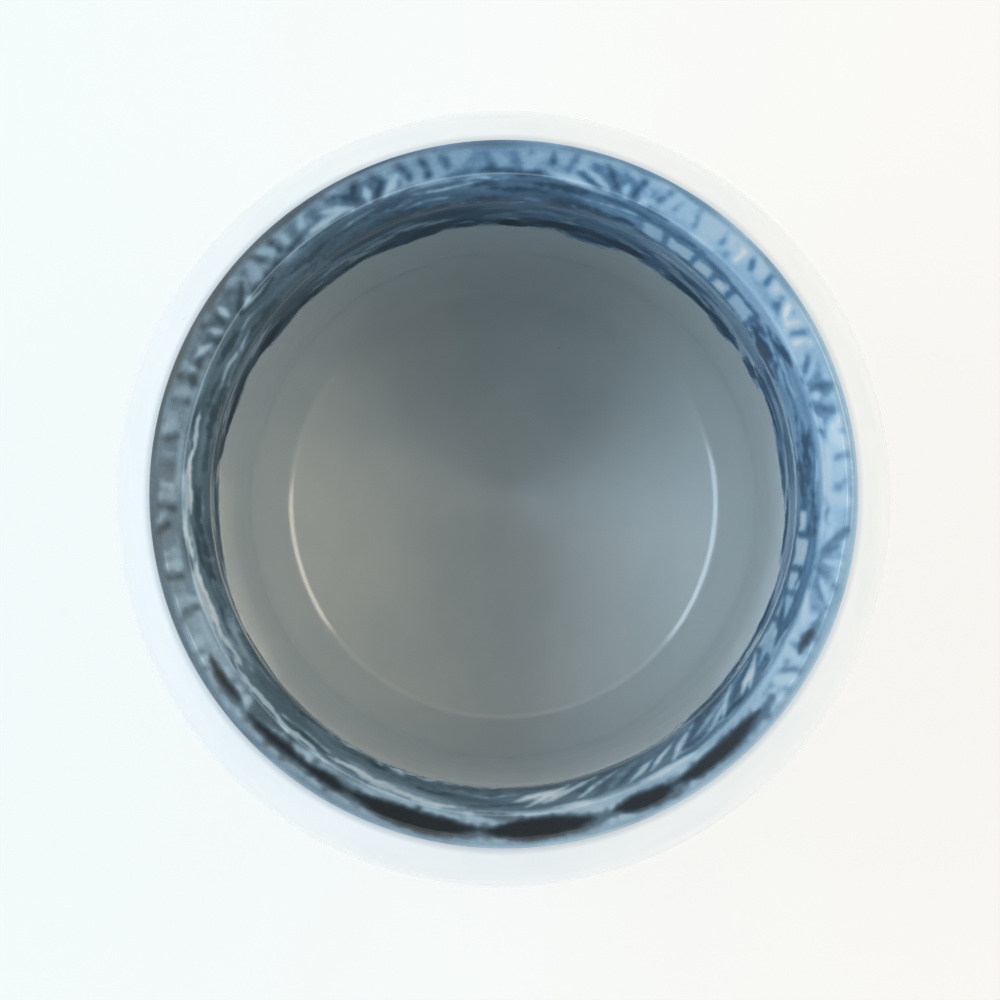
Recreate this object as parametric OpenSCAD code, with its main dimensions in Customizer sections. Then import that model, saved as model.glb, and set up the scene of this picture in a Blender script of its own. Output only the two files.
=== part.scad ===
// Double-walled porcelain yunomi teacup, in millimetres, standing on z = 0 and centred on the z axis.
// A straight inner cup with a flared mouth and a solid lip hangs inside a barrel-shaped outer shell.
// The two are joined with slip under the lip, the foot ring is joined with slip under the base, and
// the air space between the walls is closed by a plug in the base. Every piece is turned about z.

/* [Outside] */
// Height from the table to the top of the lip
cup_h = 84; // [78:1:92]
// Diameter of the lip's outer edge
rim_d = 77; // [72:1:80]
// Diameter of the outer wall at its widest
belly_d = 90.5; // [87:0.5:96]
// Height of the widest part above the table
belly_z = 46; // [42:1:50]
// Radius of the outer wall's curve below its widest part
side_curve = 70; // [64:1:84]

/* [Inside] */
// Air space between the bottom of the inner cup and the base
floor_gap = 2; // [1.5:0.5:6]
// Air space between the lower corner of the inner cup and the outer shell
side_gap = 3.2; // [1.5:0.1:6]
// Radius of the corner between the inner wall and the floor
well_corner = 7; // [4:0.5:10]
// Radius of the dished floor
floor_curve = 110; // [80:5:200]

/* [Lip] */
// Radius of the lip's outer edge
lip_edge = 1.0; // [0.9:0.1:1.4]
// Radius of the lip's inner edge
lip_inner = 1.5; // [1:0.1:2]
// Width of the sloping face between the two edges
lip_slope_w = 2.1; // [1.2:0.1:2.6]
// Fall of that face towards the inside, in degrees
lip_slope = 25; // [10:1:35]
// Length of the flared face under the inner edge
flare_w = 4.2; // [3.5:0.1:5]
// Lean of that face from upright, in degrees
flare_lean = 24; // [18:1:30]
// Radius of the bend between that face and the inner wall
flare_bend = 6; // [4:0.5:8]
// Least height of the lip above the joint with the outer shell
lip_h = 5; // [4.5:0.5:8]

/* [Walls] */
// Thickness of the inner cup
liner_wall = 2.6; // [2:0.1:3]
// Thickness of the outer shell
shell_wall = 2.8; // [2.2:0.1:3.2]
// Width of the air space where it closes under the lip, or more where the lip is at its least height
seam_gap = 1.0; // [0.5:0.1:1.5]
// Thickness of the slip in a joint
slip_t = 0.4; // [0.2:0.1:0.8]

/* [Foot] */
// Outer diameter of the foot ring
foot_d = 48; // [44:1:52]
// Height of the foot ring below the base
foot_h = 6; // [4.5:0.5:7]
// Width of the foot ring
foot_w = 4.5; // [3.5:0.5:6]
// Radius of the foot ring's two lower edges
foot_round = 0.8; // [0.4:0.1:1.2]
// Flat of the base left outside the foot ring
foot_ledge = 0.5; // [0.5:0.1:2]
// Height of the foot ring that is left bare of glaze
foot_bare = 2; // [1.5:0.1:3]

/* [Vent] */
// Diameter of the vent hole in the base
vent_d = 4; // [3:0.5:6]
// Clearance between the plug and the hole, all round
plug_fit = 0.05; // [0.02:0.01:0.15]
// Width of the plug's head beyond the hole
plug_head_w = 1.2; // [0.5:0.1:2]
// Thickness of the plug's head
plug_head_t = 0.8; // [0.5:0.1:1]

/* [Coats] */
// Thickness of the glaze
glaze_t = 0.3; // [0.2:0.05:0.5]
// Clearance between a coat and the body under it, so that their curved faces never overlap
coat_gap = 0.04; // [0.02:0.01:0.1]
// Depth of the painted band below the top of the lip
band_depth = 36; // [12:1:44]
// Width of the rim line, measured over the lip's outer edge
rim_line_w = 1.4; // [0.8:0.1:1.4]

/* [Hidden] */

$fn = 180;
// Greatest distance between a curve and the chords that stand for it
chord_error = 0.008;

porcelain = "#f3f1ea";
biscuit = "#e9dfcf";
clear_glaze = "#f7f9fb";
cobalt = "#2c4a86";
dark_cobalt = "#1b2c5e";
plug_grey = "#c9ccce";

// Points of an arc of radius r + grow from angle a0 to a1. Their number comes from r alone, so arcs
// that differ only in grow have their points at the same angles and fit each other as layers.
function arc_steps(r, a0, a1) = max(2, ceil(abs(a1 - a0) / (2 * acos(1 - chord_error / r))));
function arc(centre, r, a0, a1, grow = 0) =
    let (n = arc_steps(r, a0, a1))
    [for (i = [0 : n]) let (a = a0 + (a1 - a0) * i / n) centre + (r + grow) * [cos(a), sin(a)]];
function reversed(points) = [for (i = [len(points) - 1 : -1 : 0]) points[i]];
// An outline without the second of two points that fall together where arcs meet.
function tidied(points) = [
    for (i = [0 : len(points) - 1])
        if (i == 0 || norm(points[i] - points[i - 1]) > chord_error / 2) points[i]];

// Outer wall: an under curve that starts on the flat base, a side curve up to the belly, an upper
// curve to the lip's edge. Each runs smoothly into the next.
belly_r = belly_d / 2;
base_z = foot_h;
under_x = foot_d / 2 + foot_ledge;
side_c = [belly_r - side_curve, belly_z];
under_curve = (side_curve ^ 2 - (under_x - side_c.x) ^ 2 - (belly_z - base_z) ^ 2)
    / (2 * (side_curve - belly_z + base_z));
under_c = [under_x, base_z + under_curve];
under_end = atan2(under_c.y - side_c.y, under_c.x - side_c.x);

edge_c = [rim_d / 2 - lip_edge, cup_h - lip_edge];
edge_in = belly_r - edge_c.x;
edge_up = edge_c.y - belly_z;
upper_curve = (edge_in ^ 2 + edge_up ^ 2 - lip_edge ^ 2) / (2 * (edge_in - lip_edge));
upper_c = [belly_r - upper_curve, belly_z];
upper_end = atan2(edge_up, upper_curve - edge_in);

// Lip: its sloping face is tangent to the outer and the inner edge.
slope_a = 90 + lip_slope;
slope_out = [cos(slope_a), sin(slope_a)];
slope_down = [-cos(lip_slope), -sin(lip_slope)];
inner_c = edge_c + lip_slope_w * slope_down + (lip_edge - lip_inner) * slope_out;

// Rim line: over the outer edge, and on down the upper curve where the edge is shorter than the line.
line_edge_w = min(rim_line_w, lip_edge * (slope_a - upper_end) * PI / 180);
line_rest_w = rim_line_w - line_edge_w;
line_start = slope_a - line_edge_w / lip_edge * 180 / PI;
line_end = upper_end - line_rest_w / upper_curve * 180 / PI;

// Flared face: a line tangent to the lip's inner edge and to the bend.
flare_out = [-cos(flare_lean), sin(flare_lean)];
flare_down = [-sin(flare_lean), -cos(flare_lean)];
bend_c = inner_c + flare_w * flare_down + (lip_inner - flare_bend) * flare_out;

// Depths below the finished surface: of the bodies under their coats, and of the bodies' hidden sides
body_in = glaze_t + coat_gap;
liner_back = body_in + liner_wall;
shell_back = body_in + shell_wall;
floor_z = base_z + shell_back + floor_gap + liner_back;

// Lower corner of the inner cup: tangent to the dished floor, and side_gap away from the outer shell.
floor_c = [0, floor_z + floor_curve];
floor_reach = floor_curve - well_corner;
side_reach = side_curve - shell_back - side_gap - liner_back - well_corner;
between = floor_c - side_c;
corner_along = (side_reach ^ 2 - floor_reach ^ 2 + between * between) / (2 * norm(between));
corner_off = sqrt(side_reach ^ 2 - corner_along ^ 2);
corner_c = side_c + (corner_along * between + corner_off * [between.y, -between.x]) / norm(between);
floor_end = atan2(corner_c.y - floor_c.y, corner_c.x);

// Inner wall: a line tangent to the corner and to the bend, with one of them on each side of it.
wall_run = bend_c - corner_c;
well_lean = atan2(wall_run.x, wall_run.y) - asin((well_corner + flare_bend) / norm(wall_run));
wall_out = [-cos(well_lean), sin(well_lean)];
wall_top = bend_c + flare_bend * wall_out;
function wall_at(z) = wall_top + (z - wall_top.y) * [tan(well_lean), 1];

// The air space closes where the outside of the inner cup comes within seam_gap of the shell, or at
// the least height of the lip if that is lower.
seam_line_x = wall_at(belly_z).x + (liner_back + seam_gap) / cos(well_lean) - upper_c.x;
seam_lean = tan(well_lean);
seam_up = (-seam_line_x * seam_lean + sqrt((upper_curve - shell_back) ^ 2 * (1 + seam_lean ^ 2)
    - seam_line_x ^ 2)) / (1 + seam_lean ^ 2);
seam_z = min(belly_z + seam_up, cup_h - lip_h);
shell_top_z = seam_z - slip_t;
function upper_angle(z, t) = asin((z - belly_z) / (upper_curve - t));
seam_a = upper_angle(seam_z, body_in);
shell_top_a = upper_angle(shell_top_z, body_in);

// Paths along the finished surface, or t into the body. Outside, from the base up to the lip.
function under_path(t) = concat(
    arc(under_c, under_curve, -90, under_end, -t),
    arc(side_c, side_curve, under_end, 0, -t));
function upper_path(t, a0, a1) = arc(upper_c, upper_curve, a0, a1, -t);
function edge_path(t, a0, a1) = arc(edge_c, lip_edge, a0, a1, -t);
function collar_path(t) = concat(
    upper_path(t, seam_a, line_end),
    line_rest_w > 0 ? [] : edge_path(t, upper_end, line_start));
function line_path(t) = concat(
    line_rest_w > 0 ? upper_path(t, line_end, upper_end) : [],
    edge_path(t, line_start, slope_a));
function outside_path(t) = concat(
    under_path(t),
    upper_path(t, 0, shell_top_a),
    upper_path(t, shell_top_a, seam_a),
    collar_path(t));
// Inside, from the middle of the floor up to the lip.
function floor_path(t) = concat(
    arc(floor_c, floor_curve, -90, floor_end, t),
    arc(corner_c, well_corner, floor_end, -well_lean, t));
function band_end(t) = wall_at(cup_h - band_depth) - t * wall_out;
function band_path(t) = concat(
    [band_end(t)],
    arc(bend_c, flare_bend, 180 - well_lean, 180 - flare_lean, -t),
    arc(inner_c, lip_inner, 180 - flare_lean, slope_a, -t),
    [edge_c + (lip_edge - t) * slope_out]);

foot_r = foot_d / 2;
foot_hole_r = foot_r - foot_w;
foot_out_r = foot_r - body_in;
foot_in_r = foot_hole_r + body_in;
foot_top_z = base_z + body_in - slip_t;
vent_r = vent_d / 2;
plug_r = vent_r - plug_fit;

module turned(points) {
    rotate_extrude()
        polygon(tidied(points));
}

// Inner cup. Its wall thickens behind the flared face into the solid lip.
module inner_cup() {
    color(porcelain)
        turned(concat(
            floor_path(body_in),
            band_path(body_in),
            reversed(line_path(body_in)),
            reversed(collar_path(body_in)),
            [[wall_at(seam_z).x + liner_back / cos(well_lean), seam_z]],
            reversed(floor_path(liner_back))));
}

// Barrel-shaped outer wall and the base, of one thickness, with the vent hole in the middle.
module outer_shell() {
    color(porcelain)
        turned(concat(
            [[vent_r, base_z + body_in]],
            under_path(body_in),
            upper_path(body_in, 0, shell_top_a),
            upper_path(shell_back, upper_angle(shell_top_z, shell_back), 0),
            reversed(under_path(shell_back)),
            [[vent_r, base_z + shell_back]]));
}

// Foot ring with rounded lower edges and a flat between them to stand on.
module foot_ring() {
    color(biscuit)
        turned(concat(
            [[foot_in_r, foot_top_z]],
            arc([foot_in_r + foot_round, foot_round], foot_round, 180, 270),
            arc([foot_out_r - foot_round, foot_round], foot_round, 270, 360),
            [[foot_out_r, foot_top_z]]));
}

// Slip between the top of the shell and the underside of the lip.
module lip_slip_joint() {
    color(porcelain)
        turned(concat(
            upper_path(body_in, shell_top_a, seam_a),
            upper_path(shell_back, upper_angle(seam_z, shell_back), upper_angle(shell_top_z, shell_back))));
}

// Slip between the foot ring and the base.
module foot_slip_joint() {
    color(porcelain)
        turned([
            [foot_in_r, foot_top_z],
            [foot_out_r, foot_top_z],
            [foot_out_r, foot_top_z + slip_t],
            [foot_in_r, foot_top_z + slip_t]]);
}

// Plug that fills the vent hole, with a head inside the air space that keeps it in.
module vent_plug() {
    color(plug_grey)
        turned([
            [0, base_z],
            [plug_r, base_z],
            [plug_r, base_z + shell_back],
            [vent_r + plug_head_w, base_z + shell_back],
            [vent_r, base_z + shell_back + plug_head_t],
            [0, base_z + shell_back + plug_head_t]]);
}

// Plain glaze on the floor and on the wall up to the painted band.
module inner_glaze() {
    color(clear_glaze)
        turned(concat(
            floor_path(0),
            [band_end(0), band_end(glaze_t)],
            reversed(floor_path(glaze_t))));
}

// Glaze on the outside, from the rim line to the bare part of the foot ring.
module outer_glaze() {
    color(clear_glaze)
        turned(concat(
            [[foot_r, foot_bare], [foot_r, base_z]],
            outside_path(0),
            reversed(outside_path(glaze_t)),
            [[foot_r - glaze_t, base_z + glaze_t], [foot_r - glaze_t, foot_bare]]));
}

// Glaze in the hollow of the foot: on the base around the vent and down the inside of the ring.
module foot_well_glaze() {
    color(clear_glaze)
        turned([
            [vent_r, base_z],
            [foot_hole_r, base_z],
            [foot_hole_r, foot_bare],
            [foot_hole_r + glaze_t, foot_bare],
            [foot_hole_r + glaze_t, base_z + glaze_t],
            [vent_r, base_z + glaze_t]]);
}

// Dark blue line along the top of the lip, between the two glazes.
module rim_line() {
    color(dark_cobalt)
        turned(concat(
            line_path(0),
            reversed(line_path(glaze_t))));
}

// Blue painting and the glaze it has melted into, from the rim line down the flared face to the wall.
module mouth_band() {
    color(cobalt)
        turned(concat(
            band_path(0),
            reversed(band_path(glaze_t))));
}

inner_cup();
outer_shell();
foot_ring();
lip_slip_joint();
foot_slip_joint();
vent_plug();
inner_glaze();
outer_glaze();
foot_well_glaze();
rim_line();
mouth_band();
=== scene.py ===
"""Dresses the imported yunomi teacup: clear glaze, cobalt painting, bare foot and a plain studio."""

import logging
import math
from collections.abc import Mapping, Sequence
from dataclasses import dataclass
from enum import Enum
from typing import Any, Union

import bpy
import numpy as np
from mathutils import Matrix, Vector


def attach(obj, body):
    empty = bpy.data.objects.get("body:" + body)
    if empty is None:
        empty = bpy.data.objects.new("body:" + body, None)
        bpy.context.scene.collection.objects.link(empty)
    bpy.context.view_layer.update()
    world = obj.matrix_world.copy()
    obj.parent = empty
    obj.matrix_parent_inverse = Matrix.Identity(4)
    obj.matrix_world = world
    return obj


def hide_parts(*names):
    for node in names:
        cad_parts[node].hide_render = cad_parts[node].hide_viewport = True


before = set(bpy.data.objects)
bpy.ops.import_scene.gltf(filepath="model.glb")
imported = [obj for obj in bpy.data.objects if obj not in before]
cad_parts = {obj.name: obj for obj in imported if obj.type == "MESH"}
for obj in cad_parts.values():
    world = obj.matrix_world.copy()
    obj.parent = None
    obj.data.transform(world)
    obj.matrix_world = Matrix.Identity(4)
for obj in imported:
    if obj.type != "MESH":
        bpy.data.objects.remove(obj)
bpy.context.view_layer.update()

LOG = logging.getLogger("teacup")
MM = 0.001
TOUCH = 1e-3 * MM
BODY = "root"
BAKE_MAP = "OFBake"
INK = "ink"
ALONG = "along"

Colour = tuple[float, float, float]
Stops = tuple[tuple[float, Colour], ...]
Number = Union["Value", float]


class Value:
    """A node's socket that takes part in Python arithmetic."""

    def __init__(self, tree: "NodeTree", socket: bpy.types.NodeSocket) -> None:
        """Keeps the socket and the tree that its Math nodes go in."""
        self.tree = tree
        self.socket = socket

    def __add__(self, other: Number) -> "Value":
        """Returns self + other."""
        return self.tree.math("ADD", self, other)

    def __radd__(self, other: Number) -> "Value":
        """Returns other + self."""
        return self.tree.math("ADD", other, self)

    def __sub__(self, other: Number) -> "Value":
        """Returns self - other."""
        return self.tree.math("SUBTRACT", self, other)

    def __rsub__(self, other: Number) -> "Value":
        """Returns other - self."""
        return self.tree.math("SUBTRACT", other, self)

    def __mul__(self, other: Number) -> "Value":
        """Returns self * other."""
        return self.tree.math("MULTIPLY", self, other)

    def __rmul__(self, other: Number) -> "Value":
        """Returns other * self."""
        return self.tree.math("MULTIPLY", other, self)

    def __truediv__(self, other: Number) -> "Value":
        """Returns self / other."""
        return self.tree.math("DIVIDE", self, other)

    def __rtruediv__(self, other: Number) -> "Value":
        """Returns other / self."""
        return self.tree.math("DIVIDE", other, self)

    def floor(self) -> "Value":
        """Returns the whole number at or below the value."""
        return self.tree.math("FLOOR", self)

    def step(self, low: float, high: float) -> "Value":
        """Maps the value to a smooth rise.

        Args:
            low: where the rise starts.
            high: where it ends.

        Returns:
            The rise, 0 at low and 1 at high.
        """
        settings = {"interpolation_type": "SMOOTHSTEP"}
        sockets = {"Value": self, "From Min": low, "From Max": high}
        return self.tree.value("ShaderNodeMapRange", settings, sockets)


class NodeTree:
    """A shader or geometry tree that is written as Python expressions."""

    AXIS_GUARD = 1e-9

    def __init__(self, tree: bpy.types.NodeTree) -> None:
        """Keeps the tree that the nodes go in."""
        self.tree = tree

    def node(
        self,
        kind: str,
        settings: Mapping[str, Any] | None = None,
        sockets: Mapping[str | int, Any] | None = None,
    ) -> bpy.types.Node:
        """Adds one node.

        Args:
            kind: the node's type.
            settings: its properties, with a ramp's colours under "stops".
            sockets: a value, a colour, a Value or a socket for each named or numbered input.

        Returns:
            The new node.
        """
        made = self.tree.nodes.new(kind)
        for name, setting in (settings or {}).items():
            if name == "stops":
                self._set_stops(made.color_ramp, setting)
            else:
                setattr(made, name, setting)
        for key, fed in (sockets or {}).items():
            self.feed(made.inputs[key], fed)
        return made

    def value(
        self,
        kind: str,
        settings: Mapping[str, Any] | None = None,
        sockets: Mapping[str | int, Any] | None = None,
        output: str | int = 0,
    ) -> Value:
        """Adds one node, as node does, and returns its output of that name or number."""
        return Value(self, self.node(kind, settings, sockets).outputs[output])

    def feed(self, socket: bpy.types.NodeSocket, fed: Any) -> None:
        """Links a socket to a Value or another socket, or sets its own value.

        Args:
            socket: the input.
            fed: what it gets.
        """
        if isinstance(fed, Value):
            self.tree.links.new(fed.socket, socket)
        elif isinstance(fed, bpy.types.NodeSocket):
            self.tree.links.new(fed, socket)
        elif isinstance(fed, tuple) and socket.type == "RGBA":
            socket.default_value = (*fed, 1.0)
        else:
            socket.default_value = fed

    def math(self, operation: str, *operands: Number) -> Value:
        """Returns a Math node's result on up to three operands."""
        return self.value("ShaderNodeMath", {"operation": operation}, dict(enumerate(operands)))

    def mix(self, share: Number, first: Any, second: Any) -> Value:
        """Returns a colour that runs from the first to the second as share runs from 0 to 1."""
        sockets = {0: share, 6: first, 7: second}
        return self.value("ShaderNodeMix", {"data_type": "RGBA"}, sockets, 2)

    def noise(self, size: float, detail: float) -> Value:
        """Returns smooth noise about 0.5, in blots of that width with that many finer layers."""
        sockets = {"Vector": self.place(), "Scale": 1.0 / size, "Detail": detail}
        return self.value("ShaderNodeTexNoise", None, sockets)

    def place(self) -> Value:
        """Returns the Object coordinates."""
        return self.value("ShaderNodeTexCoord", None, None, "Object")

    def parts(self, vector: Any) -> tuple[Value, Value, Value]:
        """Returns a vector's X, Y and Z."""
        split = self.node("ShaderNodeSeparateXYZ", None, {0: vector}).outputs
        return Value(self, split[0]), Value(self, split[1]), Value(self, split[2])

    def facing(self, vector: Any, degrees: float) -> Value:
        """Works out a slow swell about the z axis.

        Args:
            vector: the coordinates.
            degrees: the direction of its crest, from +X towards +Y.

        Returns:
            The swell, 1 in that direction and 0 opposite.
        """
        x, y, _ = self.parts(vector)
        turn = math.radians(degrees)
        level = self.math("SQRT", x * x + y * y + self.AXIS_GUARD)
        return 0.5 + 0.5 * (x * math.cos(turn) + y * math.sin(turn)) / level

    @staticmethod
    def _set_stops(ramp: bpy.types.ColorRamp, stops: Stops) -> None:
        """Sets a ramp's colours.

        Args:
            ramp: the ramp, which starts with two stops.
            stops: the place and colour of each stop in order.
        """
        while len(ramp.elements) < len(stops):
            ramp.elements.new(1.0)
        for element, (place, colour) in zip(ramp.elements, stops):
            element.position = place
            element.color = (*colour, 1.0)


class Surface(NodeTree):
    """A material's tree with its Principled shader."""

    def __init__(self, name: str) -> None:
        """Makes an empty node material.

        Args:
            name: the material's name.
        """
        self.material = bpy.data.materials.new(name)
        self.material.use_nodes = True
        super().__init__(self.material.node_tree)
        self.shader = self.tree.nodes["Principled BSDF"]

    def finish(self, **sockets: Any) -> bpy.types.Material:
        """Fills the shader's sockets.

        Args:
            sockets: what each socket gets, with _ for a space in its name.

        Returns:
            The material.
        """
        for name, fed in sockets.items():
            self.feed(self.shader.inputs[name.replace("_", " ")], fed)
        return self.material

    def bump(self, height: Value, depth: float) -> Value:
        """Returns a normal that follows a height from 0 to 1, of that depth in metres."""
        return self.value("ShaderNodeBump", None, {"Height": height, "Distance": depth})


@dataclass(frozen=True)
class ClearGlaze:
    """Clear gloss glaze over white porcelain."""

    white: Colour = (0.82, 0.835, 0.84)
    pooled: Colour = (0.77, 0.805, 0.82)
    speck: Colour = (0.24, 0.2, 0.16)
    pool_size: float = 11 * MM
    pool_span: tuple[float, float] = (0.35, 0.7)
    drift_size: float = 6.6 * MM
    ripple_size: float = 4.5 * MM
    ripple_depth: float = 0.012 * MM
    peel_size: float = 0.7 * MM
    peel_depth: float = 0.0012 * MM
    speck_pitch: float = 6 * MM
    speck_radius: float = 0.03
    speck_soft: float = 0.4
    speck_share: float = 0.5
    rare_size: float = 13.8 * MM
    rare_span: tuple[float, float] = (0.52, 0.6)
    roughness: float = 0.085
    roughness_spread: float = 0.05
    ior: float = 1.53

    def ground(self, surface: Surface) -> Value:
        """Colours the glazed white.

        Args:
            surface: the material's tree.

        Returns:
            The colour, a little bluer where the glaze is thicker, with iron specks.
        """
        thick = surface.noise(self.pool_size, 3.0).step(*self.pool_span)
        white = surface.mix(thick, self.white, self.pooled)
        sockets = {"Vector": surface.place(), "Scale": 1.0 / self.speck_pitch}
        near = surface.value("ShaderNodeTexVoronoi", None, sockets, "Distance")
        rare = surface.noise(self.rare_size, 0.0).step(*self.rare_span)
        fleck = (1.0 - near.step(self.speck_radius * self.speck_soft, self.speck_radius)) * rare
        return surface.mix(fleck * self.speck_share, white, self.speck)

    def gloss(self, surface: Surface) -> Value:
        """Returns the roughness, which drifts a little over the surface."""
        drift = surface.noise(self.drift_size, 2.0)
        return self.roughness + (drift - 0.5) * self.roughness_spread

    def relief(self, surface: Surface) -> Value:
        """Ripples the fired glaze.

        Args:
            surface: the material's tree.

        Returns:
            The normal of slow ripples under a faint orange peel.
        """
        ripple = surface.noise(self.ripple_size, 1.0)
        peel = surface.noise(self.peel_size, 0.0)
        share = self.peel_depth / self.ripple_depth
        return surface.bump(ripple + peel * share, self.ripple_depth)

    def material(self, name: str) -> bpy.types.Material:
        """Makes the plain glaze.

        Args:
            name: the material's name.

        Returns:
            The material.
        """
        surface = Surface(name)
        return surface.finish(
            Base_Color=self.ground(surface),
            Roughness=self.gloss(surface),
            Normal=self.relief(surface),
            IOR=self.ior,
        )


@dataclass(frozen=True)
class LiningGlaze(ClearGlaze):
    """Clear glaze inside the cup, greyer than the outside glaze as painted shade, paler up the wall
    partly where the glaze has run thin and partly as painted light, and thicker on the floor.
    """

    # Greyer whites than the outer glaze's: painted shade for the inside of the cup.
    white: Colour = (0.585, 0.63, 0.63)
    pooled: Colour = (0.535, 0.59, 0.6)
    # Paler wall colour: partly thinner glaze, partly painted light.
    wall: Colour = (0.69, 0.745, 0.76)
    floor_z: float = 15 * MM
    wall_z: float = 25 * MM
    mouth_low: float = 70 * MM
    mouth_high: float = 76 * MM
    ripple_depth: float = 0.003 * MM
    peel_depth: float = 0.0003 * MM
    roughness: float = 0.1
    wall_dull: float = 0.12

    def ground(self, surface: Surface) -> Value:
        """Returns the glazed white, paler up the wall: partly thinner glaze, partly painted light."""
        rise = surface.parts(surface.place())[2].step(self.floor_z, self.wall_z)
        return surface.mix(rise, super().ground(surface), self.wall)

    def gloss(self, surface: Surface) -> Value:
        """Dulls the wall between the floor and the mouth.

        Args:
            surface: the material's tree.

        Returns:
            The roughness.
        """
        z = surface.parts(surface.place())[2]
        wall = z.step(self.floor_z, self.wall_z) * (1.0 - z.step(self.mouth_low, self.mouth_high))
        return super().gloss(surface) + wall * self.wall_dull


@dataclass(frozen=True)
class HazedGlaze(ClearGlaze):
    """Clear glaze outside the cup, with a faint haze of cobalt that has run from the rim."""

    haze: Colour = (0.27, 0.335, 0.4)
    haze_low: float = 80.6 * MM
    haze_high: float = 83.5 * MM
    side: float = 205.0
    least: float = 0.4
    spread: float = 0.22

    def ground(self, surface: Surface) -> Value:
        """Hazes the glazed white under the rim.

        Args:
            surface: the material's tree.

        Returns:
            The colour.
        """
        place = surface.place()
        near = surface.parts(place)[2].step(self.haze_low, self.haze_high)
        share = near * (self.least + self.spread * surface.facing(place, self.side))
        return surface.mix(share, super().ground(surface), self.haze)


@dataclass(frozen=True)
class CobaltPainting:
    """Brushed cobalt as strong as the ink attribute says, drier on the wall, and greyer on one side: a
    painted shade for the warmer light that falls there.
    """

    glaze: ClearGlaze
    blue: Stops = (
        (0.2, (0.32, 0.5, 0.655)),
        (0.42, (0.12, 0.25, 0.4)),
        (0.68, (0.04, 0.095, 0.17)),
        (1.0, (0.006, 0.012, 0.022)),
    )
    # Greyer copy of the blue ramp, mixed in towards one side: painted shade.
    shaded_blue: Stops = (
        (0.2, (0.32, 0.45, 0.545)),
        (0.42, (0.14, 0.21, 0.265)),
        (0.68, (0.05, 0.085, 0.11)),
        (1.0, (0.006, 0.01, 0.015)),
    )
    shaded_side: float = 218.0
    shaded_span: tuple[float, float] = (0.05, 0.75)
    hides: tuple[float, float] = (0.0, 0.12)
    dry: float = 0.5
    dry_span: tuple[float, float] = (0.15, 0.6)
    dry_z: float = 74 * MM
    gloss_z: float = 77 * MM
    bleed_size: float = 0.5 * MM
    bleed: float = 0.44
    full: float = 1.05
    wash_size: float = 3.5 * MM

    def material(self, name: str) -> bpy.types.Material:
        """Makes the painted glaze.

        Args:
            name: the material's name.

        Returns:
            The material.
        """
        surface = Surface(name)
        ink = surface.value("ShaderNodeAttribute", {"attribute_name": INK}, None, "Fac")
        grain = surface.noise(self.bleed_size, 3.0) - 0.5
        wash = surface.noise(self.wash_size, 2.0) - 0.5
        uneven = ink * (1.0 + (grain + wash) * self.bleed * (self.full - ink))
        bare = (0.0, self.glaze.white)
        ramps = [
            surface.value("ShaderNodeValToRGB", {"stops": (bare, *stops)}, {"Fac": uneven})
            for stops in (self.blue, self.shaded_blue)
        ]
        # Painted shade: the greyer ramp takes over towards that side.
        in_shade = surface.facing(surface.place(), self.shaded_side).step(*self.shaded_span)
        cobalt = surface.mix(in_shade, *ramps)
        inside = 1.0 - surface.parts(surface.place())[2].step(self.dry_z, self.gloss_z)
        return surface.finish(
            Base_Color=surface.mix(uneven.step(*self.hides), self.glaze.ground(surface), cobalt),
            Roughness=self.glaze.gloss(surface) + uneven.step(*self.dry_span) * inside * self.dry,
            Normal=self.glaze.relief(surface),
            IOR=self.glaze.ior,
        )


@dataclass(frozen=True)
class CobaltLine(CobaltPainting):
    """Cobalt on the lip's edge, dry all round, whose painted-shade ramp on one side is greyer where the
    line is loaded.
    """

    # Greyer ramp for the line on its shaded side: painted shade.
    shaded_blue: Stops = (
        (0.2, (0.32, 0.45, 0.545)),
        (0.42, (0.14, 0.21, 0.265)),
        (0.6, (0.08, 0.1, 0.107)),
        (1.0, (0.006, 0.01, 0.015)),
    )
    dry_z: float = 84 * MM
    gloss_z: float = 168 * MM


@dataclass(frozen=True)
class FiredClay:
    """Bare fired porcelain or slip: dry, finely grained, with a few iron specks."""

    pale: Colour
    warm: Colour
    speck: Colour = (0.22, 0.13, 0.07)
    speck_size: float = 0.595 * MM
    speck_span: tuple[float, float] = (0.73, 0.78)
    speck_share: float = 0.6
    patch_size: float = 9 * MM
    patch_span: tuple[float, float] = (0.3, 0.72)
    grain_size: float = 0.35 * MM
    grain_share: float = 0.2
    grain_depth: float = 0.03 * MM
    roughness: float = 0.74
    roughness_spread: float = 0.2

    def material(self, name: str) -> bpy.types.Material:
        """Makes the clay's finish.

        Args:
            name: the material's name.

        Returns:
            The material.
        """
        surface = Surface(name)
        patch = surface.noise(self.patch_size, 4.0).step(*self.patch_span)
        grain = surface.noise(self.grain_size, 4.0)
        fleck = surface.noise(self.speck_size, 0.0).step(*self.speck_span)
        warmth = patch * (1.0 - self.grain_share) + grain * self.grain_share
        clay = surface.mix(warmth, self.pale, self.warm)
        return surface.finish(
            Base_Color=surface.mix(fleck * self.speck_share, clay, self.speck),
            Roughness=self.roughness + (grain - 0.5) * self.roughness_spread,
            Normal=surface.bump(grain, self.grain_depth),
        )


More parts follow.
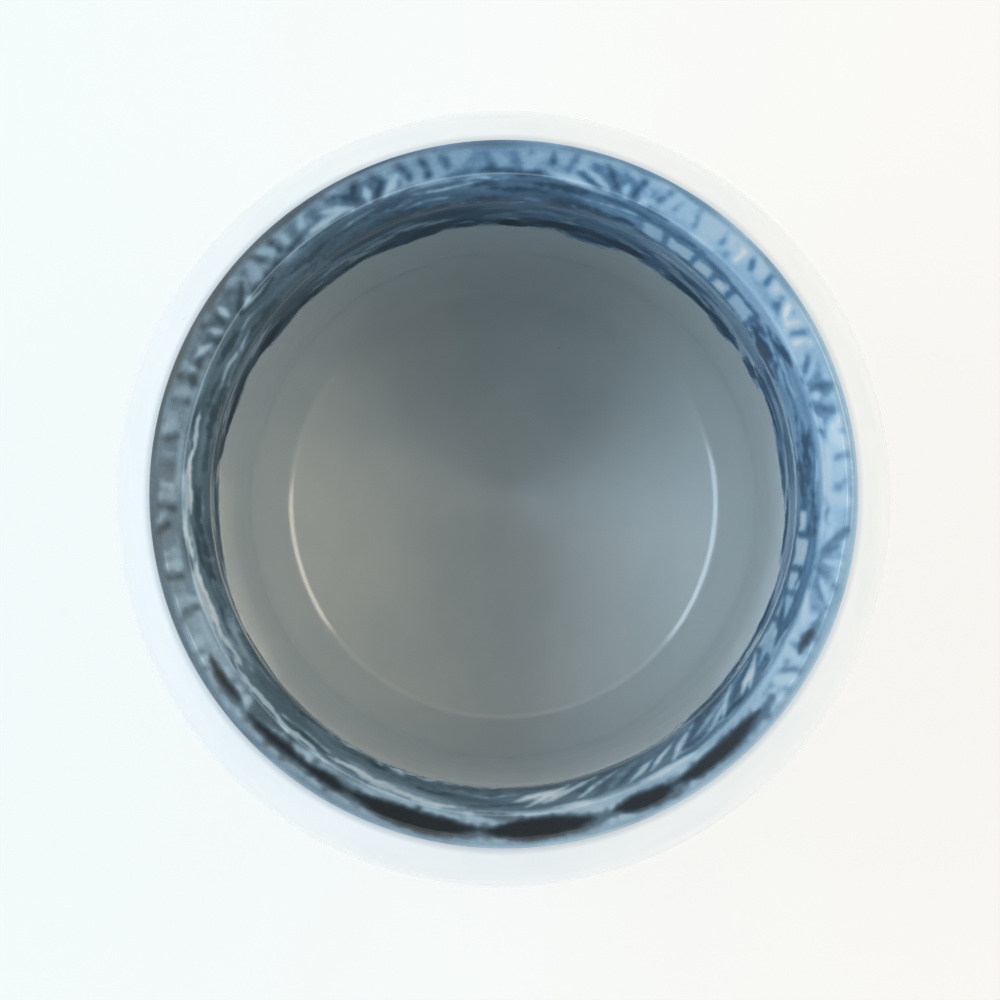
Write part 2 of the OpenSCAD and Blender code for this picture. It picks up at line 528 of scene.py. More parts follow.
@dataclass(frozen=True)
class Silicone:
    """Matt grey silicone with faint mould bloom."""

    grey: Colour = (0.42, 0.43, 0.44)
    bloom: Colour = (0.52, 0.53, 0.53)
    bloom_size: float = 1.6 * MM
    bloom_span: tuple[float, float] = (0.35, 0.75)
    grain_size: float = 0.12 * MM
    grain_depth: float = 0.01 * MM
    roughness: float = 0.5
    bloom_roughness: float = 0.15

    def material(self, name: str) -> bpy.types.Material:
        """Makes the plug's finish.

        Args:
            name: the material's name.

        Returns:
            The material.
        """
        surface = Surface(name)
        bloom = surface.noise(self.bloom_size, 3.0).step(*self.bloom_span)
        grain = surface.noise(self.grain_size, 1.0)
        return surface.finish(
            Base_Color=surface.mix(bloom, self.grey, self.bloom),
            Roughness=self.roughness + bloom * self.bloom_roughness,
            Normal=surface.bump(grain, self.grain_depth),
        )


PORCELAIN = FiredClay(pale=(0.78, 0.77, 0.73), warm=(0.72, 0.7, 0.65))
SLIP = FiredClay(pale=(0.74, 0.73, 0.69), warm=(0.68, 0.66, 0.61))
BISCUIT = FiredClay(pale=(0.68, 0.62, 0.53), warm=(0.6, 0.5, 0.39))


def arc(centre: Sequence[float], radius: float, start: float, end: float, pitch: float) -> np.ndarray:
    """Lists points of an arc in the radius and height plane.

    Args:
        centre: its centre.
        radius: its radius.
        start: first angle in radians from the outward direction.
        end: last angle.
        pitch: greatest distance between points.

    Returns:
        One row of radius and height for each point.
    """
    count = max(3, math.ceil(abs(end - start) * radius / pitch))
    angle = np.linspace(start, end, count + 1)
    return np.stack([centre[0] + radius * np.cos(angle), centre[1] + radius * np.sin(angle)], 1)


def run(start: Sequence[float], end: Sequence[float], pitch: float) -> np.ndarray:
    """Returns the points of a straight run, no further apart than the pitch, both ends included."""
    count = max(1, math.ceil(math.dist(start, end) / pitch))
    return np.linspace(start, end, count + 1)


def joined(*runs: np.ndarray) -> np.ndarray:
    """Joins runs of points into one path.

    Args:
        runs: the runs in order.

    Returns:
        The path, without the points that fall together.
    """
    path = np.concatenate(runs)
    apart = np.linalg.norm(np.diff(path, axis=0), axis=1) > TOUCH
    return path[np.concatenate([[True], apart])]


def offset(path: np.ndarray, depth: float) -> np.ndarray:
    """Moves a path square to itself.

    Args:
        path: its points.
        depth: how far to its left, seen along its run.

    Returns:
        The moved points.
    """
    along = np.gradient(path, axis=0)
    along /= np.linalg.norm(along, axis=1, keepdims=True)
    return path + depth * np.stack([-along[:, 1], along[:, 0]], 1)


@dataclass(frozen=True)
class Outline:
    """A closed outline in the radius and height plane: the face that shows, then its back."""

    front: np.ndarray
    back: np.ndarray
    front_share: float = 0.9

    def closed(self) -> tuple[np.ndarray, np.ndarray]:
        """Runs the outline once round, so that a turned ring's faces point outwards.

        Returns:
            The points, with the first repeated at the end, and each point's place from 0 to 1, of
            which the front takes front_share.
        """
        points = np.concatenate([self.front, self.back, self.front[:1]])
        span = np.linalg.norm(np.diff(points, axis=0), axis=1)
        last = len(self.front) - 1
        ahead, behind = np.cumsum(span[:last]), np.cumsum(span[last:])
        place = np.concatenate(
            [
                [0.0],
                self.front_share * ahead / ahead[-1],
                self.front_share + (1.0 - self.front_share) * behind / behind[-1],
            ]
        )
        turn = np.roll(points[:-1], -1, 0)
        area = np.sum(points[:-1, 0] * turn[:, 1] - turn[:, 0] * points[:-1, 1])
        return (points, place) if area > 0 else (points[::-1], place[::-1])


class Lathe:
    """A Geometry Nodes tree that turns a closed outline about Z and lays out its bake map."""

    MARGIN = 0.01
    NUDGE = 1e-4
    WELD = 1e-4 * MM
    SHARP = math.radians(40)

    def __init__(self) -> None:
        """Builds the tree once for all turned pieces."""
        group = bpy.data.node_groups.new("Turned ring", "GeometryNodeTree")
        self.group = group
        face = group.interface
        face.new_socket("Ring", in_out="OUTPUT", socket_type="NodeSocketGeometry")
        face.new_socket("Outline", in_out="INPUT", socket_type="NodeSocketGeometry")
        for name in ("Segments", "Steps", "Map rows"):
            face.new_socket(name, in_out="INPUT", socket_type="NodeSocketInt")
        face.new_socket("Finish", in_out="INPUT", socket_type="NodeSocketMaterial")
        self._wire(NodeTree(group))

    def _wire(self, tree: NodeTree) -> None:
        """Adds the nodes and links.

        Args:
            tree: the group's tree.
        """
        given = tree.node("NodeGroupInput").outputs
        outline = given["Outline"]
        segments, steps = Value(tree, given["Segments"]), Value(tree, given["Steps"])
        rows = Value(tree, given["Map rows"])
        ring = steps + 1.0
        grid = tree.value(
            "GeometryNodeMeshGrid", None, {"Vertices X": segments + 1.0, "Vertices Y": ring}
        )
        index = tree.value("GeometryNodeInputIndex")
        column = ((index + 0.5) / ring).floor()
        spot = tree.value("GeometryNodeInputPosition")
        point = tree.value(
            "GeometryNodeSampleIndex",
            {"data_type": "FLOAT_VECTOR"},
            {"Geometry": outline, "Value": spot, "Index": index - column * ring},
        )
        radius, _, height = tree.parts(point)
        angle = column * math.tau / segments
        place = tree.value(
            "ShaderNodeCombineXYZ",
            None,
            {
                "X": radius * tree.math("COSINE", angle),
                "Y": radius * tree.math("SINE", angle),
                "Z": height,
            },
        )
        unrolled = self._map(tree, outline, segments, steps, rows)
        mapped = tree.value(
            "GeometryNodeStoreNamedAttribute",
            {"data_type": "FLOAT2", "domain": "CORNER"},
            {"Geometry": grid, "Name": BAKE_MAP, "Value": unrolled},
        )
        turned = tree.value("GeometryNodeSetPosition", None, {"Geometry": mapped, "Position": place})
        welded = tree.value(
            "GeometryNodeMergeByDistance", None, {"Geometry": turned, "Distance": self.WELD}
        )
        smooth = tree.value("GeometryNodeSetShadeSmooth", None, {"Geometry": welded})
        real = tree.value("GeometryNodeRealizeInstances", None, {"Geometry": smooth})
        done = tree.value(
            "GeometryNodeSetMaterial", None, {"Geometry": real, "Material": given["Finish"]}
        )
        tree.node("NodeGroupOutput", None, {0: done})

    def _map(
        self,
        tree: NodeTree,
        outline: bpy.types.NodeSocket,
        segments: Value,
        steps: Value,
        rows: Value,
    ) -> Value:
        """Lays the unrolled ring out in rows, one under the other.

        Args:
            tree: the group's tree.
            outline: the outline's points, which hold their place along it.
            segments: segments round the ring.
            steps: steps along the outline.
            rows: rows of the map.

        Returns:
            The place of each face corner in the map.
        """
        ring = steps + 1.0
        vertex = tree.value("GeometryNodeVertexOfCorner")
        facet = tree.value("GeometryNodeFaceOfCorner", None, None, "Face Index")
        column = ((vertex + 0.5) / ring).floor()
        strip = (((facet + 0.5) / steps).floor() * rows / segments + self.NUDGE).floor()
        named = tree.value("GeometryNodeInputNamedAttribute", {"data_type": "FLOAT"}, {"Name": ALONG})
        along = tree.value(
            "GeometryNodeSampleIndex",
            {"data_type": "FLOAT"},
            {"Geometry": outline, "Value": named, "Index": vertex - column * ring},
        )
        inner = 1.0 - 2.0 * self.MARGIN
        across = column * rows / segments - strip
        return tree.value(
            "ShaderNodeCombineXYZ",
            None,
            {
                "X": across * inner + self.MARGIN,
                "Y": (strip + along * inner + self.MARGIN) / rows,
            },
        )

    def turn(
        self,
        name: str,
        outline: Outline,
        finish: bpy.types.Material,
        segments: int = 288,
        rows: int = 2,
    ) -> bpy.types.Object:
        """Turns one piece.

        Args:
            name: the piece's name.
            outline: its closed outline.
            finish: its material.
            segments: faces round the ring.
            rows: rows of its bake map.

        Returns:
            The piece as a plain mesh object at the origin.
        """
        points, place = outline.closed()
        mesh = bpy.data.meshes.new(name)
        edges = [(i, i + 1) for i in range(len(points) - 1)]
        mesh.from_pydata([(r, 0.0, z) for r, z in points], edges, [])
        mesh.attributes.new(ALONG, "FLOAT", "POINT").data.foreach_set("value", place)
        piece = bpy.data.objects.new(name, mesh)
        bpy.context.scene.collection.objects.link(piece)
        modifier = piece.modifiers.new("Turned ring", "NODES")
        modifier.node_group = self.group
        values = {
            "Segments": segments,
            "Steps": len(points) - 1,
            "Map rows": rows,
            "Finish": finish,
        }
        for socket in self.group.interface.items_tree:
            if socket.name in values:
                modifier[socket.identifier] = values[socket.name]
        graph = bpy.context.evaluated_depsgraph_get()
        solid = bpy.data.meshes.new_from_object(piece.evaluated_get(graph))
        piece.modifiers.clear()
        piece.data = solid
        bpy.data.meshes.remove(mesh)
        solid.name = name
        solid.set_sharp_from_angle(angle=self.SHARP)
        return piece


def seated(piece: bpy.types.Object, node: str) -> None:
    """Puts a piece in the place of a solid.

    Args:
        piece: the new piece.
        node: the solid's name.
    """
    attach(piece, BODY)
    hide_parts(node)
    LOG.info("%s stands for %s, %d faces", piece.name, node, len(piece.data.polygons))


def refinish(node: str, finish: bpy.types.Material) -> None:
    """Gives a kept solid its finish.

    Args:
        node: the solid's name.
        finish: its material.
    """
    solid = bpy.data.objects[node]
    if not solid.material_slots:
        solid.data.materials.append(finish)
    for slot in solid.material_slots:
        slot.material = finish
    LOG.info("%s keeps its solid", node)


@dataclass(frozen=True)
class CupProfile:
    """The cup's turned surfaces, in metres, from the sizes of its solids."""

    height: float = 84 * MM
    rim_r: float = 38.5 * MM
    belly_r: float = 45.25 * MM
    belly_z: float = 46 * MM
    side_curve: float = 70 * MM
    foot_r: float = 24 * MM
    foot_h: float = 6 * MM
    foot_w: float = 4.5 * MM
    foot_round: float = 0.8 * MM
    foot_ledge: float = 0.5 * MM
    foot_bare: float = 2 * MM
    lip_edge: float = 1.0 * MM
    lip_inner: float = 1.5 * MM
    lip_slope_w: float = 2.1 * MM
    lip_slope: float = math.radians(25)
    flare_lean: float = math.radians(24)
    flare_w: float = 4.2 * MM
    flare_bend: float = 6 * MM
    well_corner: float = 7 * MM
    floor_curve: float = 110 * MM
    floor_gap: float = 2 * MM
    side_gap: float = 3.2 * MM
    liner_wall: float = 2.6 * MM
    shell_wall: float = 2.8 * MM
    band_depth: float = 36 * MM
    rim_line_w: float = 1.4 * MM
    vent_r: float = 2 * MM
    glaze: float = 0.3 * MM
    coat_gap: float = 0.04 * MM
    slip: float = 0.4 * MM
    pitch: float = 1.2 * MM
    fine: float = 0.13 * MM
    wall_pitch: float = 0.8 * MM

    @property
    def edge_centre(self) -> tuple[float, float]:
        """Centre of the lip's outer edge."""
        return (self.rim_r - self.lip_edge, self.height - self.lip_edge)

    @property
    def slope_angle(self) -> float:
        """Direction square to the lip's sloping face."""
        return math.pi / 2 + self.lip_slope

    @property
    def line_start(self) -> float:
        """Angle on the lip's outer edge where the rim line starts."""
        return self.slope_angle - self.rim_line_w / self.lip_edge

    @property
    def inner_centre(self) -> tuple[float, float]:
        """Centre of the lip's inner edge."""
        r, z = self.edge_centre
        step = self.lip_edge - self.lip_inner
        r += step * math.cos(self.slope_angle) - self.lip_slope_w * math.cos(self.lip_slope)
        z += step * math.sin(self.slope_angle) - self.lip_slope_w * math.sin(self.lip_slope)
        return (r, z)

    @property
    def flare_angle(self) -> float:
        """Direction square to the flared face under the lip."""
        return math.pi - self.flare_lean

    @property
    def bend_centre(self) -> tuple[float, float]:
        """Centre of the bend between the flared face and the inner wall."""
        r, z = self.inner_centre
        step = self.lip_inner - self.flare_bend
        r += step * math.cos(self.flare_angle) - self.flare_w * math.sin(self.flare_lean)
        z += step * math.sin(self.flare_angle) - self.flare_w * math.cos(self.flare_lean)
        return (r, z)

    @property
    def backs(self) -> float:
        """Depth of the hidden sides of both walls below their glazed faces, together."""
        return 2 * (self.glaze + self.coat_gap) + self.liner_wall + self.shell_wall

    @property
    def dish_centre(self) -> tuple[float, float]:
        """Centre of the dished floor."""
        return (0.0, self.foot_h + self.backs + self.floor_gap + self.floor_curve)

    @property
    def corner_centre(self) -> tuple[float, float]:
        """Centre of the corner that joins the floor, side_gap away from the outer shell."""
        side = np.array([self.belly_r - self.side_curve, self.belly_z])
        across, up = np.array(self.dish_centre) - side
        apart = math.hypot(across, up)
        reach = self.side_curve - self.backs - self.side_gap - self.well_corner
        along = (reach**2 - (self.floor_curve - self.well_corner) ** 2 + apart**2) / (2 * apart)
        off = math.sqrt(reach**2 - along**2)
        r, z = side + (along * np.array([across, up]) + off * np.array([up, -across])) / apart
        return (float(r), float(z))

    @property
    def well_lean(self) -> float:
        """Lean of the inner wall, which touches the corner and the bend on either side."""
        (r, z), (bend_r, bend_z) = self.corner_centre, self.bend_centre
        apart = math.hypot(bend_r - r, bend_z - z)
        turn = math.asin((self.well_corner + self.flare_bend) / apart)
        return math.atan2(bend_r - r, bend_z - z) - turn

    @property
    def wall_angle(self) -> float:
        """Direction square to the inner wall."""
        return math.pi - self.well_lean

    def wall_at(self, z: float) -> tuple[float, float]:
        """Finds the point of the inner wall at a height.

        Args:
            z: the height.

        Returns:
            The point's radius and height.
        """
        r, top = self.bend_centre
        r += self.flare_bend * math.cos(self.wall_angle)
        top += self.flare_bend * math.sin(self.wall_angle)
        return (r - (top - z) * math.tan(self.well_lean), z)

    def outside(self) -> np.ndarray:
        """Traces the glazed outside.

        Returns:
            Its points from the bare part of the foot up to the rim line.
        """
        under_r = self.foot_r + self.foot_ledge
        side = (self.belly_r - self.side_curve, self.belly_z)
        rise = self.belly_z - self.foot_h
        curve = self.side_curve**2 - (under_r - side[0]) ** 2 - rise**2
        curve /= 2 * (self.side_curve - rise)
        under = (under_r, self.foot_h + curve)
        turn = math.atan2(under[1] - side[1], under[0] - side[0])
        edge = self.edge_centre
        inset, upward = self.belly_r - edge[0], edge[1] - self.belly_z
        upper = (inset**2 + upward**2 - self.lip_edge**2) / (2 * (inset - self.lip_edge))
        upper_c = (self.belly_r - upper, self.belly_z)
        lean = math.atan2(upward, edge[0] - upper_c[0])
        return joined(
            run((self.foot_r, self.foot_bare), (self.foot_r, self.foot_h), self.pitch),
            run((self.foot_r, self.foot_h), (under_r, self.foot_h), self.pitch),
            arc(under, curve, -math.pi / 2, turn, self.pitch),
            arc(side, self.side_curve, turn, 0.0, self.pitch),
            arc(upper_c, upper, 0.0, lean, self.pitch),
            arc(edge, self.lip_edge, lean, self.line_start, self.fine),
        )

    def rim_line(self) -> np.ndarray:
        """Returns the rim line over the lip's outer edge, inwards."""
        return arc(self.edge_centre, self.lip_edge, self.line_start, self.slope_angle, self.fine / 2)

    def band(self) -> np.ndarray:
        """Traces the painted band.

        Returns:
            Its points from the rim line down the inner wall.
        """
        slope = self.rim_line()[-1]
        edge = arc(self.inner_centre, self.lip_inner, self.slope_angle, self.flare_angle, self.fine)
        bend = arc(self.bend_centre, self.flare_bend, self.flare_angle, self.wall_angle, 2 * self.fine)
        end = self.wall_at(self.height - self.band_depth)
        return joined(
            run(slope, edge[0], self.fine),
            edge,
            run(edge[-1], bend[0], 2 * self.fine),
            bend,
            run(bend[-1], end, self.wall_pitch),
        )

    def well(self) -> np.ndarray:
        """Traces the plain inside.

        Returns:
            Its points from the band down to the middle of the floor.
        """
        corner, dish = self.corner_centre, self.dish_centre
        meet = math.atan2(corner[1] - dish[1], corner[0] - dish[0])
        bend = arc(corner, self.well_corner, self.wall_angle - math.pi, meet, self.fine)
        top = self.wall_at(self.height - self.band_depth)
        floor = arc(dish, self.floor_curve, meet, -math.pi / 2, self.pitch)
        floor[-1, 0] = 0.0
        return joined(run(top, bend[0], self.pitch), bend, floor)

    def foot_well(self) -> np.ndarray:
        """Traces the glazed hollow of the foot.

        Returns:
            Its points from the vent out and down the foot ring.
        """
        inner = self.foot_r - self.foot_w
        return joined(
            run((self.vent_r, self.foot_h), (inner, self.foot_h), self.pitch),
            run((inner, self.foot_h), (inner, self.foot_bare), self.pitch / 2),
        )

    def foot(self) -> np.ndarray:
        """Traces the bare foot ring.

        Returns:
            Its points from its inner top corner round to its outer one.
        """
        skin = self.glaze + self.coat_gap
        inner, outer = self.foot_r - self.foot_w + skin, self.foot_r - skin
        top, bend = self.foot_h + skin - self.slip, self.foot_round
        return joined(
            run((inner, top), (inner, bend), self.pitch),
            arc((inner + bend, bend), bend, math.pi, 1.5 * math.pi, self.fine),
            arc((outer - bend, bend), bend, -math.pi / 2, 0.0, self.fine),
            run((outer, bend), (outer, top), self.pitch),
        )


class Tone(Enum):
    """How much cobalt a brush carries."""

    MIST = 0.12
    PALE = 0.24
    FULL = 0.97


class Lay(Enum):
    """How a brush mark meets the ink under it."""

    COVER = "hides it"
    DEEPEN = "only adds to it"


@dataclass
class InkSheet:
    """The painted face laid flat: x runs once round the mouth, y down from the rim line's edge."""

    girth: float
    depth: float
    seed: int
    pitch: float = 0.1 * MM
    ragged_size: float = 0.45 * MM
    dry_length: float = 1.6 * MM
    dry_width: float = 0.3 * MM
    driest: float = 0.15
    pressed: float = 0.9
    stray: float = 3.0
    edge_guard: float = 0.001

    def __post_init__(self) -> None:
        """Lays out bare cells and the two grains that brush edges follow."""
        self.draw = np.random.default_rng(self.seed)
        self.rows = math.ceil(self.depth / self.pitch)
        self.columns = round(self.girth / self.pitch)
        self.ink = np.zeros((self.rows, self.columns))
        self.down = (np.arange(self.rows) * self.pitch)[:, None]
        self.across = (np.arange(self.columns) * self.pitch)[None, :]
        self.ragged = self.noise(self.ragged_size, self.ragged_size)
        self.dry = self.noise(self.dry_length, self.dry_width)

    def blurred(self, cells: np.ndarray, across: float, down: float) -> np.ndarray:
        """Blurs cells that close on themselves.

        Args:
            cells: the cells.
            across: width of the blur along x.
            down: width of the blur along y.

        Returns:
            The blurred cells.
        """
        fx = np.fft.rfftfreq(cells.shape[1], self.pitch)[None, :]
        fy = np.fft.fftfreq(cells.shape[0], self.pitch)[:, None]
        kept = np.exp(-2 * math.pi**2 * ((fx * across) ** 2 + (fy * down) ** 2))
        return np.fft.irfft2(np.fft.rfft2(cells) * kept, cells.shape)

    def noise(self, across: float, down: float) -> np.ndarray:
        """Returns noise of unit spread, in blots of that width and depth."""
        blots = self.blurred(self.draw.standard_normal(self.ink.shape), across / 2, down / 2)
        return blots / blots.std()

    def window(
        self, x: float, y: float, reach_x: float, reach_y: float
    ) -> tuple[tuple[np.ndarray, ...], np.ndarray, np.ndarray]:
        """Picks the cells about a point, past the seam where need be.

        Args:
            x: the point's place round the mouth.
            y: its place down the face.
            reach_x: half the window's width.
            reach_y: half its depth.

        Returns:
            The cells' indices and their places across and down from the point.
        """
        first = math.floor((x - reach_x) / self.pitch)
        count = min(math.ceil(2 * reach_x / self.pitch) + 2, self.columns)
        top = max(0, math.floor((y - reach_y) / self.pitch))
        low = max(top, min(self.rows, math.ceil((y + reach_y) / self.pitch) + 1))
        rows, columns = np.arange(top, low), np.arange(first, first + count)
        dx, dy = np.meshgrid(columns * self.pitch - x, rows * self.pitch - y)
        return np.ix_(rows, columns % self.columns), dx, dy

    def brush(
        self,
        cells: tuple[np.ndarray, ...],
        gap: np.ndarray,
        tone: float,
        soft: float,
        rag: float,
        solid: float | np.ndarray = 1.0,
        lay: Lay = Lay.COVER,
    ) -> None:
        """Puts ink where the gap to a shape is below 0.

        Args:
            cells: the cells' indices.
            gap: each cell's distance outside the shape.
            tone: the ink's strength.
            soft: half the width of the shape's blurred edge.
            rag: how far the edge strays.
            solid: how much of the ink is laid down.
            lay: how it meets the ink that is there.
        """
        share = np.clip(0.5 - (gap + rag * self.ragged[cells]) / (2 * soft), 0.0, 1.0)
        share = share * share * (3.0 - 2.0 * share) * solid
        laid = self.ink[cells] + (tone - self.ink[cells]) * share
        self.ink[cells] = np.maximum(laid, self.ink[cells]) if lay is Lay.DEEPEN else laid

    def stroke(
        self,
        points: Sequence[tuple[float, float]] | np.ndarray,
        widths: Sequence[float] | np.ndarray,
        tone: float,
        soft: float,
        rag: float,
        dryness: float = 0.0,
    ) -> None:
        """Draws the brush along a run of points.

        Args:
            points: the run.
            widths: the stroke's width at each point.
            tone: the ink's strength.
            soft: half the width of its blurred edge.
            rag: how far the edge strays.
            dryness: how much of the ink the brush leaves out in streaks.
        """
        points, widths = np.asarray(points, float), np.asarray(widths, float)
        low, high = points.min(0), points.max(0)
        middle = (low + high) / 2
        reach = (high - low) / 2 + widths.max() + self.stray * (soft + rag)
        cells, dx, dy = self.window(*middle, *reach)
        gap = np.full(dx.shape, np.inf)
        for a, b, wide, narrow in zip(points[:-1] - middle, points[1:] - middle, widths, widths[1:]):
            step = b - a
            along = ((dx - a[0]) * step[0] + (dy - a[1]) * step[1]) / max(step @ step, TOUCH**2)
            along = np.clip(along, 0.0, 1.0)
            away = np.hypot(dx - a[0] - along * step[0], dy - a[1] - along * step[1])
            gap = np.minimum(gap, away - (wide + (narrow - wide) * along) / 2)
        solid = np.clip(1.0 - dryness * np.maximum(self.dry[cells], 0.0), self.driest, 1.0)
        self.brush(cells, gap, tone, soft, rag, solid)

    def blot(
        self,
        middle: tuple[float, float],
        across: float,
        down: float,
        tone: float,
        soft: float,
        rag: float,
        lay: Lay = Lay.DEEPEN,
    ) -> None:
        """Presses an uneven lens of ink.

        Args:
            middle: its place round the mouth and down the face.
            across: its width.
            down: its depth.
            tone: the ink's strength.
            soft: half the width of its blurred edge.
            rag: how far the edge strays.
            lay: how it meets the ink that is there.
        """
        edge = self.stray * rag + soft
        cells, dx, dy = self.window(*middle, across / 2 + edge, down / 2 + edge)
        gap = (np.hypot(2 * dx / across, 2 * dy / down) - 1.0) * down / 2
        self.brush(cells, gap, tone, soft, rag, self.pressed, lay)

    def panel(
        self,
        middle: tuple[float, float],
        across: float,
        down: float,
        tone: float,
        soft: float,
        rag: float,
    ) -> None:
        """Fills an upright panel.

        Args:
            middle: its place round the mouth and down the face.
            across: its width.
            down: its depth.
            tone: the ink's strength.
            soft: half the width of its blurred edge.
            rag: how far the edge strays.
        """
        edge = self.stray * rag + soft
        cells, dx, dy = self.window(*middle, across / 2 + edge, down / 2 + edge)
        gap = np.maximum(np.abs(dx) - across / 2, np.abs(dy) - down / 2)
        self.brush(cells, gap, tone, soft, rag)

    def soften(self, width: float) -> None:
        """Lets the ink run by that width in the glaze."""
        mirrored = np.concatenate([self.ink, self.ink[::-1]])
        self.ink = self.blurred(mirrored, width, width)[: self.rows]

    def read(self, x: np.ndarray, y: np.ndarray) -> np.ndarray:
        """Reads the ink at points of the face.

        Args:
            x: their places round the mouth.
            y: their places down the face.

        Returns:
            The ink from 0 to 1.
        """
        u, v = x / self.pitch, np.clip(y / self.pitch, 0.0, self.rows - 1 - self.edge_guard)
        column, row = np.floor(u).astype(int), np.floor(v).astype(int)
        u, v = u - column, v - row
        near, far = column % self.columns, (column + 1) % self.columns
        top = self.ink[row, near] * (1 - u) + self.ink[row, far] * u
        low = self.ink[row + 1, near] * (1 - u) + self.ink[row + 1, far] * u
        return np.clip(top * (1 - v) + low * v, 0.0, 1.0)


@dataclass(frozen=True)
class Marks:
    """The ranges that one kind of brush mark is drawn from, its lengths and breadths in millimetres."""

    count: int
    length: tuple[float, float]
    breadth: tuple[float, float]
    tones: tuple[float, ...]
    soft: float
    rag: float

    def size(self, draw: np.random.Generator) -> tuple[float, float]:
        """Draws a length and a breadth, in metres."""
        return draw.uniform(*self.length) * MM, draw.uniform(*self.breadth) * MM

    def tone(self, draw: np.random.Generator) -> float:
        """Draws one of the tones."""
        return draw.choice(self.tones)


